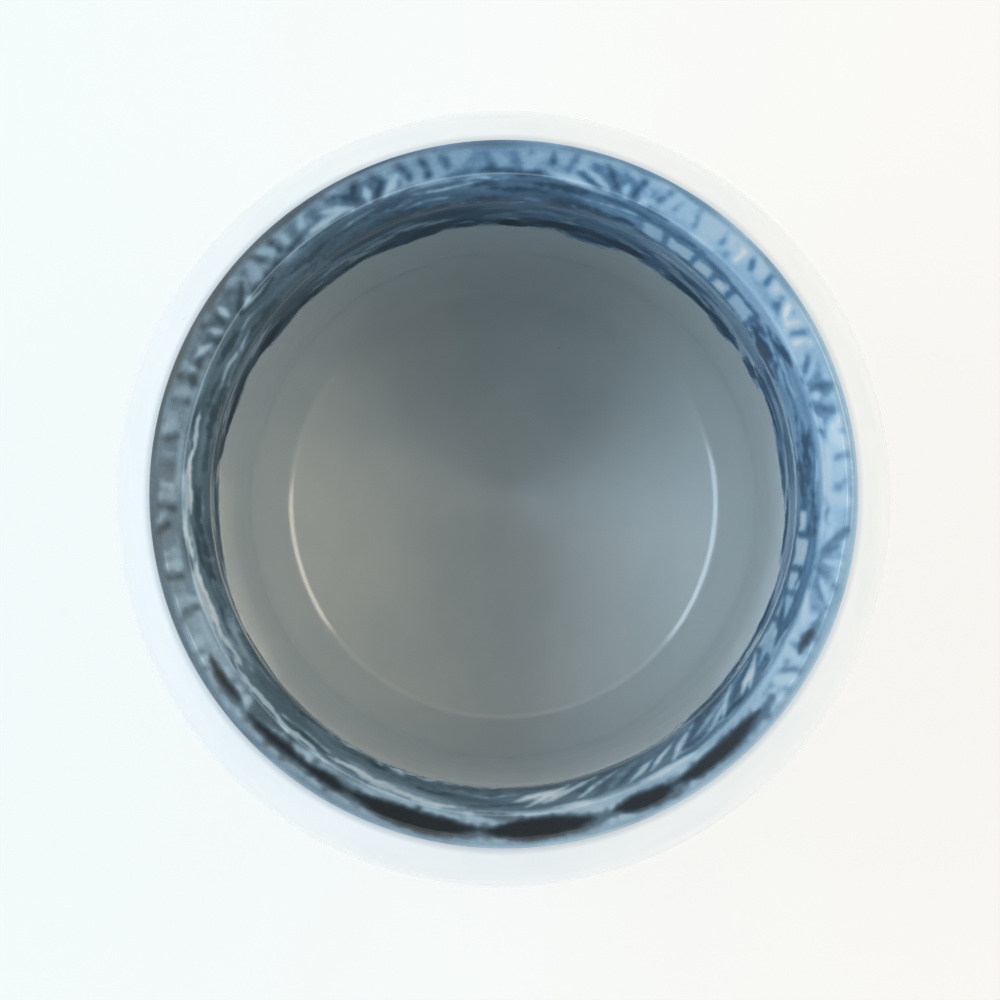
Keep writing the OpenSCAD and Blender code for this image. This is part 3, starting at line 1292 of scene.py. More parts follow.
@dataclass
class Landscape:
    """A river landscape: blossom round the lip, then streams, jetties, trees and a rocky shore.

    A share is a place round the mouth: 0 at +X, 0.25 at +Y, and so on round to 1. A size, wobble
    or patch is the width and depth of a blot of noise. shore_stray and shore_fade hold the value
    where the shore is high and what is added where it is low. A row of lip_loads holds the share,
    the narrowness and the ink of one swell, and a row of dabs the share, length and breadth of one.
    """

    girth: float
    depth: float
    lip_end: float
    flare_end: float
    bend_end: float
    seed: int = 11
    first_run: float = 0.16 * MM
    last_run: float = 0.1 * MM
    # The dusk values darken the ink towards the upper left of the mouth: partly heavier brushwork,
    # partly painted shade.
    dusk_share: float = 0.4
    near_share: float = 0.75
    near_spread: float = 8.0
    wash_tone: float = 0.17
    wash_below: float = 0.15
    wash_dusk: float = 0.04
    wash_near: float = 0.12
    wash_most: float = 0.62
    fog_size: tuple[float, float] = (6 * MM, 2 * MM)
    fog_lip: float = 0.04
    fog_below: float = 0.02
    streak_size: tuple[float, float] = (7 * MM, 0.7 * MM)
    streak_load: float = 0.035
    lip_blend: float = 1.2 * MM
    lip_loads: tuple[tuple[float, float, float], ...] = (
        (0.42, 1.5, 0.24),
        (0.95, 6.0, 0.1),
        (0.25, 14.0, 0.12),
        (0.13, 10.0, -0.09),
        (0.36, 12.0, -0.05),
        (0.5, 12.0, 0.05),
    )
    shore_middle: float = 21.5 * MM
    shore_swing: float = 11.5 * MM
    shore_low: float = 0.21
    shore_wobble: tuple[float, float] = (5 * MM, 90 * MM)
    shore_stray: tuple[float, float] = (0.6 * MM, 3.6 * MM)
    shore_fade: tuple[float, float] = (1.0 * MM, 5.0 * MM)
    line_w: float = 0.75 * MM
    line_soft: float = 0.5 * MM
    line_wobble: tuple[float, float] = (3 * MM, 90 * MM)
    line_stray: float = 0.12 * MM
    line_patches: tuple[float, float] = (4 * MM, 90 * MM)
    line_patch_load: float = 0.05
    line_least: float = 0.26
    line_load: float = 0.4
    streams: Marks = Marks(150, (4, 13), (0.3, 0.9), (0.04, 0.2, 0.54, 0.76), 0.2 * MM, 0.08 * MM)
    stream_dusk: float = 0.08
    stream_near: float = 0.14
    drifts: Marks = Marks(70, (4, 12), (3, 9), (0.22, 0.32, 0.46, 0.58), 0.7 * MM, 0.5 * MM)
    drift_depths: tuple[float, float] = (0.05, 0.8)
    drift_share: float = 0.3
    drift_load: float = 0.16
    rocks: Marks = Marks(150, (2.5, 8), (1, 9), (0.38, 0.5, 0.62), 0.8 * MM, 0.45 * MM)
    rock_share: float = 0.28
    rock_load: float = 0.34
    rock_heights: tuple[float, float] = (0.35, 1.0)
    rock_sinks: tuple[float, float] = (-0.2, 1.1)
    bare_tops: float = 0.3
    tree_shares: tuple[float, ...] = (0.02, 0.09, 0.22, 0.27, 0.31, 0.36, 0.4, 0.46, 0.53, 0.88)
    pads: Marks = Marks(9, (2.0, 6.0), (0.7, 1.7), (0.5, 0.74), 0.3 * MM, 0.2 * MM)
    pad_spread: float = 2.6 * MM
    pad_dusk: float = 0.12
    jetty_shares: tuple[float, ...] = (0.14, 0.955)
    jetty_half: float = 10 * MM
    jetty_start: float = 8 * MM
    jetty_posts: int = 5
    jetty_gaps: tuple[float, float] = (1.0 * MM, 3.4 * MM)
    jetty_drops: tuple[float, float] = (0.3 * MM, 1.6 * MM)
    post_tones: tuple[float, float] = (0.5, 0.68)
    gap_tones: tuple[float, float] = (0.03, 0.26)
    rail_tone: float = 0.58
    reed_shares: tuple[float, ...] = (0.79, 0.845, 0.895)
    reeds: Marks = Marks(9, (3.0, 6.5), (0.6, 1.4), (0.04, 0.1, 0.24, 0.62), 0.22 * MM, 0.06 * MM)
    reed_pitch: float = 1.7 * MM
    reed_jitter: float = 0.4
    reed_tops: tuple[float, float] = (0.0 * MM, 2.0 * MM)
    reed_ends: tuple[float, float] = (0.0 * MM, 1.6 * MM)
    reed_bed_tone: float = 0.5
    streaks: Marks = Marks(70, (3, 9), (0.5, 1.0), (0.05, 0.12, 0.34, 0.52), 0.28 * MM, 0.1 * MM)
    streak_depths: tuple[float, float] = (0.1 * MM, 2.0 * MM)
    streak_tilt: float = 0.12
    streak_lip: float = 0.9
    petals: Marks = Marks(92, (0.6, 1.5), (0.7, 1.4), (0.03, 0.14), 0.3 * MM, 0.12 * MM)
    petal_jitter: float = 0.35
    petal_depths: tuple[float, float] = (1.0 * MM, 1.8 * MM)
    petal_lean: float = 0.9 * MM
    petal_lip: float = 0.75
    petal_gap_tones: tuple[float, float] = (0.36, 0.7)
    petal_gap_lip: float = 0.6
    spray_shares: tuple[float, ...] = (0.06, 0.2, 0.33, 0.42, 0.97)
    spray_leaves: int = 7
    spray_turn: float = 0.34
    spray_tilt: float = 0.5
    spray_jitter: float = 0.3
    spray_reach: tuple[float, float] = (1.0 * MM, 3.0 * MM)
    spray_feet: tuple[float, float] = (-1.0 * MM, 0.4 * MM)
    spray_shade: float = 0.42
    spray_dusk: float = 0.2
    spray_gap: float = 0.16
    spray_tones: tuple[float, float] = (0.1, 0.2)
    # Pale broken strokes on the lip's inner edge: a painted highlight.
    highlight_shares: tuple[float, float] = (0.47, 0.72)
    bare: Marks = Marks(17, (4, 9), (0.5, 1.4), (0.02, 0.16), 0.3 * MM, 0.1 * MM)
    highlight_jitter: float = 2.0 * MM
    highlight_depths: tuple[float, float] = (-0.4 * MM, 1.0 * MM)
    dab_inset: float = 2.0 * MM
    dab_drift: float = 0.4 * MM
    dab_share: float = 0.78
    dab_edge: float = 0.56
    dabs: tuple[tuple[float, float, float], ...] = (
        (0.6, 6 * MM, 0.8 * MM),
        (0.64, 9 * MM, 1.0 * MM),
        (0.669, 6 * MM, 1.2 * MM),
        (0.7135, 15 * MM, 2.1 * MM),
        (0.774, 12 * MM, 2.4 * MM),
        (0.826, 7 * MM, 1.9 * MM),
        (0.868, 12 * MM, 1.7 * MM),
        (0.935, 3 * MM, 0.8 * MM),
    )

    def paint(self) -> InkSheet:
        """Paints the sheet from the back of the view to the front.

        Returns:
            The painted sheet.
        """
        sheet = InkSheet(self.girth, self.depth, self.seed)
        self._washes(sheet)
        self._streams(sheet)
        self._drifts(sheet)
        self._rocks(sheet)
        for share in self.tree_shares:
            self._tree(sheet, share * self.girth)
        for share in self.jetty_shares:
            self._jetty(sheet, share * self.girth)
        for share in self.reed_shares:
            self._reeds(sheet, share * self.girth)
        self._streaks(sheet)
        self._petals(sheet)
        for share in self.spray_shares:
            self._spray(sheet, share * self.girth)
        sheet.soften(self.first_run)
        # Painted highlight along the lip's inner edge.
        self._painted_highlight(sheet)
        self._dabs(sheet)
        self._line(sheet)
        sheet.soften(self.last_run)
        return sheet

    def swing(self, x: float | np.ndarray, share: float) -> float | np.ndarray:
        """Returns a slow swell round the mouth, 1 at that share of the girth and 0 opposite."""
        return 0.5 + 0.5 * np.cos(math.tau * (x / self.girth - share))

    def dusk(self, x: float | np.ndarray) -> float | np.ndarray:
        """Returns how much darker the ink is laid, from 0 on the right to 1 on the left: partly heavier
        brushwork, partly painted shade.
        """
        return self.swing(x, self.dusk_share)

    def near(self, x: float | np.ndarray) -> float | np.ndarray:
        """Returns 1 on the near side of the mouth, 0 away from it."""
        return self.swing(x, self.near_share) ** self.near_spread

    def lip_load(self, x: float | np.ndarray) -> float | np.ndarray:
        """Returns how much darker the lip is painted than its first wash, in swells round the mouth
        that are partly painted shade.
        """
        return sum(load * self.swing(x, share) ** spread for share, spread, load in self.lip_loads)

    def shore(self, x: float | np.ndarray) -> float | np.ndarray:
        """Returns the depth of the shore, which runs low on one side of the cup."""
        return self.shore_middle + self.shore_swing * (2 * self.swing(x, self.shore_low) - 1)

    def _washes(self, sheet: InkSheet) -> None:
        """Lays thin washes, darker below the lip, which end unevenly at the shore.

        Args:
            sheet: the sheet.
        """
        fog, streak = sheet.noise(*self.fog_size), sheet.noise(*self.streak_size)
        dusk, near = self.dusk(sheet.across), self.near(sheet.across)
        below = np.clip((sheet.down - self.lip_end) / self.lip_blend + 0.5, 0.0, 1.0)
        deeper = self.wash_below + self.wash_dusk * dusk + self.wash_near * near
        tone = self.wash_tone + self.lip_load(sheet.across) + deeper * below
        tone = tone + (self.fog_lip + self.fog_below * below) * fog + self.streak_load * streak
        low = self.swing(sheet.across, self.shore_low)
        stray = self.shore_stray[0] + self.shore_stray[1] * low
        end = self.shore(sheet.across) + stray * sheet.noise(*self.shore_wobble)
        fade = (end - sheet.down) / (self.shore_fade[0] + self.shore_fade[1] * low)
        sheet.ink[:] = np.clip(tone, Tone.MIST.value, self.wash_most) * np.clip(fade, 0.0, 1.0)

    def _streams(self, sheet: InkSheet) -> None:
        """Draws long level strokes of water on the flared face, pale and dark.

        Args:
            sheet: the sheet.
        """
        marks, place = self.streams, np.linspace(-0.5, 0.5, 9)
        sway, tip, dryness = 0.35 * MM, 0.12 * MM, 0.35
        for _ in range(marks.count):
            x = sheet.draw.uniform() * self.girth
            y = sheet.draw.uniform(self.lip_end - 0.4 * MM, self.bend_end)
            length, broad = marks.size(sheet.draw)
            wave = sway * np.sin(7 * place + x / MM)
            widths = np.interp(np.abs(place), [0.0, 0.5], [broad, tip])
            load = self.stream_dusk * self.dusk(x) + self.stream_near * self.near(x)
            points = np.stack([x + place * length, y + wave], 1)
            sheet.stroke(points, widths, marks.tone(sheet.draw) + load, marks.soft, marks.rag, dryness)

    def _drifts(self, sheet: InkSheet) -> None:
        """Spreads tall soft drifts of mist and shade over the wall above the shore.

        Args:
            sheet: the sheet.
        """
        marks, least_room = self.drifts, 0.5 * MM
        for _ in range(marks.count):
            x = sheet.draw.uniform() * self.girth
            room = max(self.shore(x) - self.bend_end, least_room)
            y = self.bend_end + sheet.draw.uniform(*self.drift_depths) * room
            across, down = marks.size(sheet.draw)
            tone = marks.tone(sheet.draw) + self.drift_load * self.swing(x, self.drift_share)
            sheet.blot((x, y), across, min(down, room), tone, marks.soft, marks.rag, Lay.COVER)

    def _rocks(self, sheet: InkSheet) -> None:
        """Presses the rocks of the shore, darkest where it runs low, some with bare tops.

        Args:
            sheet: the sheet.
        """
        marks, (least, most) = self.rocks, self.rocks.breadth
        top_tone, top_soft, top_rag, shallow = 0.28, 0.5 * MM, 0.3 * MM, 0.25
        for _ in range(marks.count):
            x = sheet.draw.uniform() * self.girth
            low = self.swing(x, self.rock_share)
            across = sheet.draw.uniform(*marks.length) * MM
            height = low * sheet.draw.uniform(*self.rock_heights)
            down = (least + (most - least) * height) * MM
            y = self.shore(x) - sheet.draw.uniform(*self.rock_sinks) * down
            tone = marks.tone(sheet.draw) + self.rock_load * low * sheet.draw.uniform()
            sheet.blot((x, y), across, down, tone, marks.soft, marks.rag)
            if sheet.draw.uniform() < self.bare_tops * (low > shallow):
                top = (x, y - 0.8 * down)
                sheet.blot(top, 0.8 * across, down / 2, top_tone, top_soft, top_rag, Lay.COVER)

    def _tree(self, sheet: InkSheet, x: float) -> None:
        """Presses the level pads of a tree that leans over the water.

        Args:
            sheet: the sheet.
            x: where it stands.
        """
        marks, load = self.pads, self.pad_dusk * self.dusk(x)
        for _ in range(marks.count):
            middle = (
                x + sheet.draw.normal(0.0, self.pad_spread),
                sheet.draw.uniform(self.lip_end + 0.8 * MM, self.bend_end),
            )
            across, down = marks.size(sheet.draw)
            tone = sheet.draw.uniform(*marks.tones) + load
            sheet.blot(middle, across, down, tone, marks.soft, marks.rag)

    def _jetty(self, sheet: InkSheet, x: float) -> None:
        """Draws a jetty: bare gaps of unequal width between posts, under a deck.

        Args:
            sheet: the sheet.
            x: its middle.
        """
        deck, water = self.lip_end + 1.7 * MM, self.flare_end + 1.0 * MM
        place, margin = x - self.jetty_start, 0.45 * MM
        soft, post_widths = 0.2 * MM, (0.8 * MM, 0.6 * MM)
        for _ in range(self.jetty_posts):
            gap = sheet.draw.uniform(*self.jetty_gaps)
            drop = sheet.draw.uniform(*self.jetty_drops)
            post = [(place, deck), (place + 0.1 * MM, water)]
            sheet.stroke(post, post_widths, sheet.draw.uniform(*self.post_tones), soft, 0.08 * MM)
            middle, tone = place + margin + gap / 2, sheet.draw.uniform(*self.gap_tones)
            height = water - deck - 0.6 * MM - drop
            sheet.panel((middle, deck + drop + height / 2), gap, height, tone, soft, 0.12 * MM)
            place += gap + 2 * margin
        for y, broad in ((deck, 0.9 * MM), (water, 0.7 * MM)):
            ends = (x - self.jetty_half, x + self.jetty_half)
            rail = [(ends[0], y + 0.3 * MM), (x, y - 0.1 * MM), (ends[1], y + 0.2 * MM)]
            sheet.stroke(rail, [0.3 * broad, broad, 0.4 * broad], self.rail_tone, soft, 0.1 * MM, 0.3)

    def _reeds(self, sheet: InkSheet, x: float) -> None:
        """Draws a bed of broad pale reeds that lean over dark gaps on the flared face.

        Args:
            sheet: the sheet.
            x: its middle.
        """
        marks, tip = self.reeds, 0.15 * MM
        low, high = self.flare_end + 1.0 * MM, self.lip_end + 0.5 * MM
        sheet.blot((x, (low + high) / 2), 15 * MM, 4 * MM, self.reed_bed_tone, 0.7 * MM, 0.3 * MM)
        for blade in range(marks.count):
            aside = sheet.draw.uniform(-self.reed_jitter, self.reed_jitter)
            bx = x + (blade - marks.count // 2 + aside) * self.reed_pitch
            lean = sheet.draw.uniform(*marks.length) * MM
            top = high + sheet.draw.uniform(*self.reed_tops)
            end = low - sheet.draw.uniform(*self.reed_ends)
            points = [(bx + lean, end), (bx + 0.4 * lean, (end + top) / 2), (bx, top)]
            tone, broad = marks.tone(sheet.draw), sheet.draw.uniform(*marks.breadth) * MM
            sheet.stroke(points, [tip, broad, tip], tone, marks.soft, marks.rag)

    def _streaks(self, sheet: InkSheet) -> None:
        """Lays long soft streaks along the inner half of the lip, palest on the right.

        Args:
            sheet: the sheet.
        """
        marks, place, tip = self.streaks, np.linspace(-0.5, 0.5, 7), 0.15 * MM
        for _ in range(marks.count):
            x = sheet.draw.uniform() * self.girth
            y = self.lip_end - sheet.draw.uniform(*self.streak_depths)
            length, broad = marks.size(sheet.draw)
            tilt = sheet.draw.uniform(-self.streak_tilt, self.streak_tilt)
            tone = marks.tone(sheet.draw) + self.streak_lip * self.lip_load(x)
            points = np.stack([x + place * length, y + tilt * place * length], 1)
            widths = broad * (1.0 - (2 * np.abs(place)) ** 2) + tip
            sheet.stroke(points, widths, tone, marks.soft, marks.rag)

    def _petals(self, sheet: InkSheet) -> None:
        """Hangs pale leaning petals from the rim, with short darker strokes between them.

        Args:
            sheet: the sheet.
        """
        marks, aside, gap_widths = self.petals, 1.2 * MM, (0.35 * MM, 0.6 * MM)
        for turn in range(marks.count):
            jitter = sheet.draw.uniform(-self.petal_jitter, self.petal_jitter)
            x = (turn + jitter) / marks.count * self.girth
            y, load = sheet.draw.uniform(*self.petal_depths), self.lip_load(x)
            lean = sheet.draw.uniform(-self.petal_lean, self.petal_lean)
            length, broad = marks.size(sheet.draw)
            dark = sheet.draw.uniform(*self.petal_gap_tones) + self.petal_gap_lip * load
            gap = [(x + aside, y - 0.2 * MM), (x + aside + lean, y + length + 0.3 * MM)]
            sheet.stroke(gap, gap_widths, dark, marks.soft, 0.1 * MM)
            pale = sheet.draw.uniform(*marks.tones) + self.petal_lip * load
            petal = [(x, y), (x + lean, y + length)]
            sheet.stroke(petal, [0.8 * broad, broad], pale, marks.soft, marks.rag)

    def _spray(self, sheet: InkSheet, x: float) -> None:
        """Draws a spray of pale leaves with dark gaps across the lip.

        Args:
            sheet: the sheet.
            x: its middle.
        """
        y, tilt = self.lip_end - 0.5 * MM, sheet.draw.uniform(-self.spray_tilt, self.spray_tilt)
        shade = self.spray_shade + self.spray_dusk * self.dusk(x)
        sheet.blot((x, y - 1.2 * MM), 7 * MM, 2.8 * MM, shade, 0.7 * MM, 0.3 * MM)
        for leaf in range(self.spray_leaves):
            out = leaf - self.spray_leaves // 2
            jitter = sheet.draw.uniform(-self.spray_jitter, self.spray_jitter)
            lean = tilt + out * self.spray_turn + jitter
            reach = sheet.draw.uniform(*self.spray_reach)
            way = (1.6 * math.sin(lean), -math.cos(lean))
            foot = (x + 0.9 * out * MM, y + sheet.draw.uniform(*self.spray_feet))
            tip = (foot[0] + way[0] * reach, foot[1] + way[1] * reach)
            middle = ((foot[0] + tip[0]) / 2, (foot[1] + tip[1]) / 2)
            tone = (sheet.draw.uniform(*self.spray_tones), shade + self.spray_gap)[leaf % 2]
            broad = (1.0, 0.6)[leaf % 2] * MM
            sheet.stroke([foot, middle, tip], [0.3 * MM, broad, 0.2 * MM], tone, 0.16 * MM, 0.06 * MM)

    def _painted_highlight(self, sheet: InkSheet) -> None:
        """Paints a highlight along the lip's inner edge on the lower left: pale broken strokes that
        leave it nearly bare.

        Args:
            sheet: the sheet.
        """
        marks, place, sway, tip = self.bare, np.linspace(-0.5, 0.5, 9), 0.25 * MM, 0.1 * MM
        for share in np.linspace(*self.highlight_shares, marks.count):
            x = share * self.girth + sheet.draw.uniform(-self.highlight_jitter, self.highlight_jitter)
            y = self.lip_end + sheet.draw.uniform(*self.highlight_depths)
            length, broad = marks.size(sheet.draw)
            points = np.stack([x + place * length, y + sway * np.sin(6 * place + x / MM)], 1)
            widths = broad * (1.0 - (2 * np.abs(place)) ** 2) + tip
            sheet.stroke(points, widths, sheet.draw.uniform(*marks.tones), marks.soft, marks.rag)

    def _dabs(self, sheet: InkSheet) -> None:
        """Draws long near-black dabs along the lip, each over a longer blue stroke.

        Args:
            sheet: the sheet.
        """
        place, sway, tip = np.linspace(-0.5, 0.5, 17), 0.12 * MM, 0.1 * MM
        for share, length, broad in self.dabs:
            x = share * self.girth
            y = self.lip_end - self.dab_inset - self.dab_drift * self.swing(x, self.dab_share)
            wave = sway * np.sin(5 * place + 50 * share)
            points = np.stack([x + place * length, y + wave], 1)
            widths = broad * (1.0 - (2 * np.abs(place)) ** 2.2) + tip
            under = np.stack([x + 1.5 * MM + 1.25 * place * length, y + wave - 0.3 * MM], 1)
            sheet.stroke(under, 1.1 * widths, self.dab_edge, 0.45 * MM, 0.12 * MM)
            sheet.stroke(points, widths, Tone.FULL.value, 0.4 * MM, 0.05 * MM)

    def _line(self, sheet: InkSheet) -> None:
        """Draws the rim line, thin on the right and darker on the left: partly heavier brushwork,
        partly painted shade.

        Args:
            sheet: the sheet.
        """
        end = self.line_w + self.line_stray * sheet.noise(*self.line_wobble)
        share = np.clip(0.5 + (end - sheet.down) / self.line_soft, 0.0, 1.0)
        load = self.line_least + self.line_load * self.dusk(sheet.across) ** 2
        load = load + self.line_patch_load * sheet.noise(*self.line_patches)
        sheet.ink += (np.clip(load, Tone.PALE.value, 1.0) - sheet.ink) * share


@dataclass
class GlazedBody:
    """The two porcelain walls, the slip that joins them and the plain glaze over them."""

    profile: CupProfile
    lathe: Lathe
    glaze: ClearGlaze
    lining: ClearGlaze
    clay: FiredClay
    slip: FiredClay
    segments: int = 576

    def build(self) -> None:
        """Turns the glaze coats and dresses the walls under them."""
        outside, well = self.profile.outside(), self.profile.well()
        coat = self.glaze.material("clear_glaze")
        shell = Outline(outside, offset(outside, self.profile.glaze)[::-1])
        skin = self.lathe.turn("outer_glaze_coat", shell, coat, self.segments)
        seated(skin, "outer_glaze")
        back = offset(well, self.profile.glaze)
        back[-1] = (0.0, well[-1, 1] - self.profile.glaze)
        coat = self.lining.material("inner_glaze")
        bowl = Outline(well, back[::-1])
        seated(self.lathe.turn("inner_glaze_coat", bowl, coat), "inner_glaze")
        porcelain, slip = self.clay.material("porcelain"), self.slip.material("slip")
        for node in ("inner_cup", "outer_shell"):
            refinish(node, porcelain)
        for node in ("lip_slip_joint", "foot_slip_joint"):
            refinish(node, slip)


@dataclass
class Foot:
    """The bare foot ring, the glaze in its hollow and the plug of the vent."""

    profile: CupProfile
    lathe: Lathe
    glaze: ClearGlaze
    biscuit: FiredClay
    silicone: Silicone

    def build(self) -> None:
        """Turns the foot ring and its glaze and dresses the plug."""
        ring = self.profile.foot()
        bare = self.biscuit.material("biscuit")
        foot = self.lathe.turn("foot_ring_bare", Outline(ring, ring[[-1, 0]]), bare)
        seated(foot, "foot_ring")
        hollow = self.profile.foot_well()
        coat = self.glaze.material("foot_glaze")
        skin = Outline(hollow, offset(hollow, self.profile.glaze)[::-1])
        seated(self.lathe.turn("foot_well_coat", skin, coat), "foot_well_glaze")
        refinish("vent_plug", self.silicone.material("plug"))


@dataclass
class PaintedMouth:
    """The dark line on the lip and the cobalt landscape inside the mouth."""

    profile: CupProfile
    lathe: Lathe
    painting: CobaltPainting
    line: CobaltPainting
    segments: int = 900
    map_rows: int = 3
    back_every: int = 8

    def build(self) -> None:
        """Turns the rim line and the band and paints both from one sheet."""
        cup, width = self.profile, self.profile.rim_line_w
        edge, face = cup.rim_line(), cup.band()
        lip_end = width + cup.lip_slope_w + cup.lip_inner * (cup.flare_angle - cup.slope_angle)
        flare_end = lip_end + cup.flare_w
        sheet = Landscape(
            girth=math.tau * cup.inner_centre[0],
            depth=width + self.reach(face)[-1],
            lip_end=lip_end,
            flare_end=flare_end,
            bend_end=flare_end + cup.flare_bend * (cup.wall_angle - cup.flare_angle),
        ).paint()
        back = offset(edge, cup.glaze)[::-1]
        coat = self.line.material("rim_cobalt")
        ring = Outline(edge, back)
        rim = self.lathe.turn("rim_line_coat", ring, coat, self.segments, self.map_rows)
        self.paint(rim, edge, sheet, 0.0)
        seated(rim, "rim_line")
        back = offset(face, cup.glaze)[::-1]
        back = np.concatenate([back[: -1 : self.back_every], back[-1:]])
        coat = self.painting.material("band_painting")
        ring = Outline(face, back)
        band = self.lathe.turn("mouth_band_coat", ring, coat, self.segments, self.map_rows)
        self.paint(band, face, sheet, width)
        seated(band, "mouth_band")

    @staticmethod
    def reach(face: np.ndarray) -> np.ndarray:
        """Returns how far each point of a path is along it."""
        return np.concatenate([[0.0], np.cumsum(np.linalg.norm(np.diff(face, axis=0), axis=1))])

    def paint(self, piece: bpy.types.Object, face: np.ndarray, sheet: InkSheet, start: float) -> None:
        """Writes how much ink a piece holds at each of its points.

        Args:
            piece: the turned piece.
            face: the points of its painted face, downwards.
            sheet: the painted sheet.
            start: where on the sheet the face starts.
        """
        points = np.empty(3 * len(piece.data.vertices))
        piece.data.vertices.foreach_get("co", points)
        x, y, z = points.reshape(-1, 3).T
        radius = np.hypot(x, y)
        away = np.hypot(radius[:, None] - face[:, 0], z[:, None] - face[:, 1])
        down = start + self.reach(face)[away.argmin(1)]
        turn = np.arctan2(y, x) / math.tau % 1.0
        ink = sheet.read(turn * sheet.girth, down)
        piece.data.attributes.new(INK, "FLOAT", "POINT").data.foreach_set("value", ink)


@dataclass(frozen=True)
class Lamp:
    """A soft lamp that hangs over one side and faces the mouth."""

    name: str
    azimuth: float
    elevation: float
    width: float
    colour: Colour
    depth: float = 0.13
    away: float = 0.8
    watts_per_metre: float = 2.3

    def hang(self, height: float) -> None:
        """Hangs the lamp.

        Args:
            height: the mouth's height, from which the lamp's direction and distance count.
        """
        data = bpy.data.lights.new(self.name, "AREA")
        data.shape, data.size, data.size_y = "RECTANGLE", self.width, self.depth
        data.energy, data.color = self.watts_per_metre * self.width, self.colour
        lamp = bpy.data.objects.new(self.name, data)
        bpy.context.scene.collection.objects.link(lamp)
        turn, rise = math.radians(self.azimuth), math.radians(self.elevation)
        way = Vector((math.cos(rise) * math.cos(turn), math.cos(rise) * math.sin(turn), math.sin(rise)))
        lamp.location = Vector((0.0, 0.0, height)) + way * self.away
        lamp.rotation_euler = way.to_track_quat("Z", "Y").to_euler()


@dataclass(frozen=True)
class Sky:
    """The light all round: a bright horizon, dimmer sides and a soft top, cool left and warm right.

    A span is the pair of values between which something changes: of the height, from 0 at the
    horizon to 1 overhead, or of how far to the right or to the top of the photo a direction points.
    """

    plain: Colour
    cool: Colour
    warm: Colour
    pole_guard: float = 1e-4
    warm_right: float = 0.42
    warm_top: float = 0.44
    side_span: tuple[float, float] = (0.16, 0.42)
    top_span: tuple[float, float] = (0.6, 0.82)
    left_span: tuple[float, float] = (-0.8, 0.6)
    open_turn: float = 0.1
    open_span: tuple[float, float] = (-0.88, 0.0)
    far_span: tuple[float, float] = (0.2, 0.95)
    far_dim: float = 0.66
    top_least: float = 0.04
    top_open: float = 1.08
    top_left: float = 0.68
    side: float = 0.27
    side_left: float = 0.52
    near_span: tuple[float, float] = (-0.9, 0.1)
    near_share: float = 0.6
    back_span: tuple[float, float] = (0.3, 1.0)
    back_dim: float = 0.5
    horizon: float = 1.9
    horizon_right: float = 0.45
    horizon_near: float = 0.55
    horizon_span: tuple[float, float] = (-0.8, 0.3)
    ring_rise: tuple[float, float] = (0.765, 0.81)
    ring_fall: tuple[float, float] = (0.82, 0.865)
    ring_least: float = 0.25
    ring_back: float = 0.5
    ring_span: tuple[float, float] = (-0.6, 0.8)

    def light(self, tree: NodeTree) -> tuple[Value, Value]:
        """Works out the light that comes from each direction.

        Args:
            tree: the world's tree.

        Returns:
            Its colour and its strength.
        """
        x, y, z = tree.parts(tree.node("ShaderNodeTexCoord").outputs["Generated"])
        level = tree.math("SQRT", x * x + y * y + self.pole_guard)
        right, far = x / level, y / level
        left = 1.0 - right.step(*self.left_span)
        overhead, lifted = z.step(*self.top_span), z.step(*self.side_span)
        across = tree.mix(0.5 + right * self.warm_right + far * self.warm_top, self.cool, self.warm)
        colour = tree.mix(lifted, self.plain, across)
        opened = (far + right * self.open_turn).step(*self.open_span)
        opened = opened * (1.0 - far.step(*self.far_span) * self.far_dim)
        top = self.top_least + opened * (self.top_open + left * self.top_left)
        shaded = self.near_share + far.step(*self.near_span) * (1.0 - self.near_share)
        shaded = shaded * (1.0 - far.step(*self.back_span) * self.back_dim)
        side = (self.side + left * self.side_left) * shaded
        near = 1.0 - far.step(*self.horizon_span)
        horizon = self.horizon + self.horizon_right * (1.0 - left) + self.horizon_near * near
        low = horizon + (side - horizon) * lifted
        ring = z.step(*self.ring_rise) * (1.0 - z.step(*self.ring_fall))
        ring = ring * (self.ring_least + self.ring_back * far.step(*self.ring_span))
        return colour, low * (1.0 - overhead) + top * overhead + ring


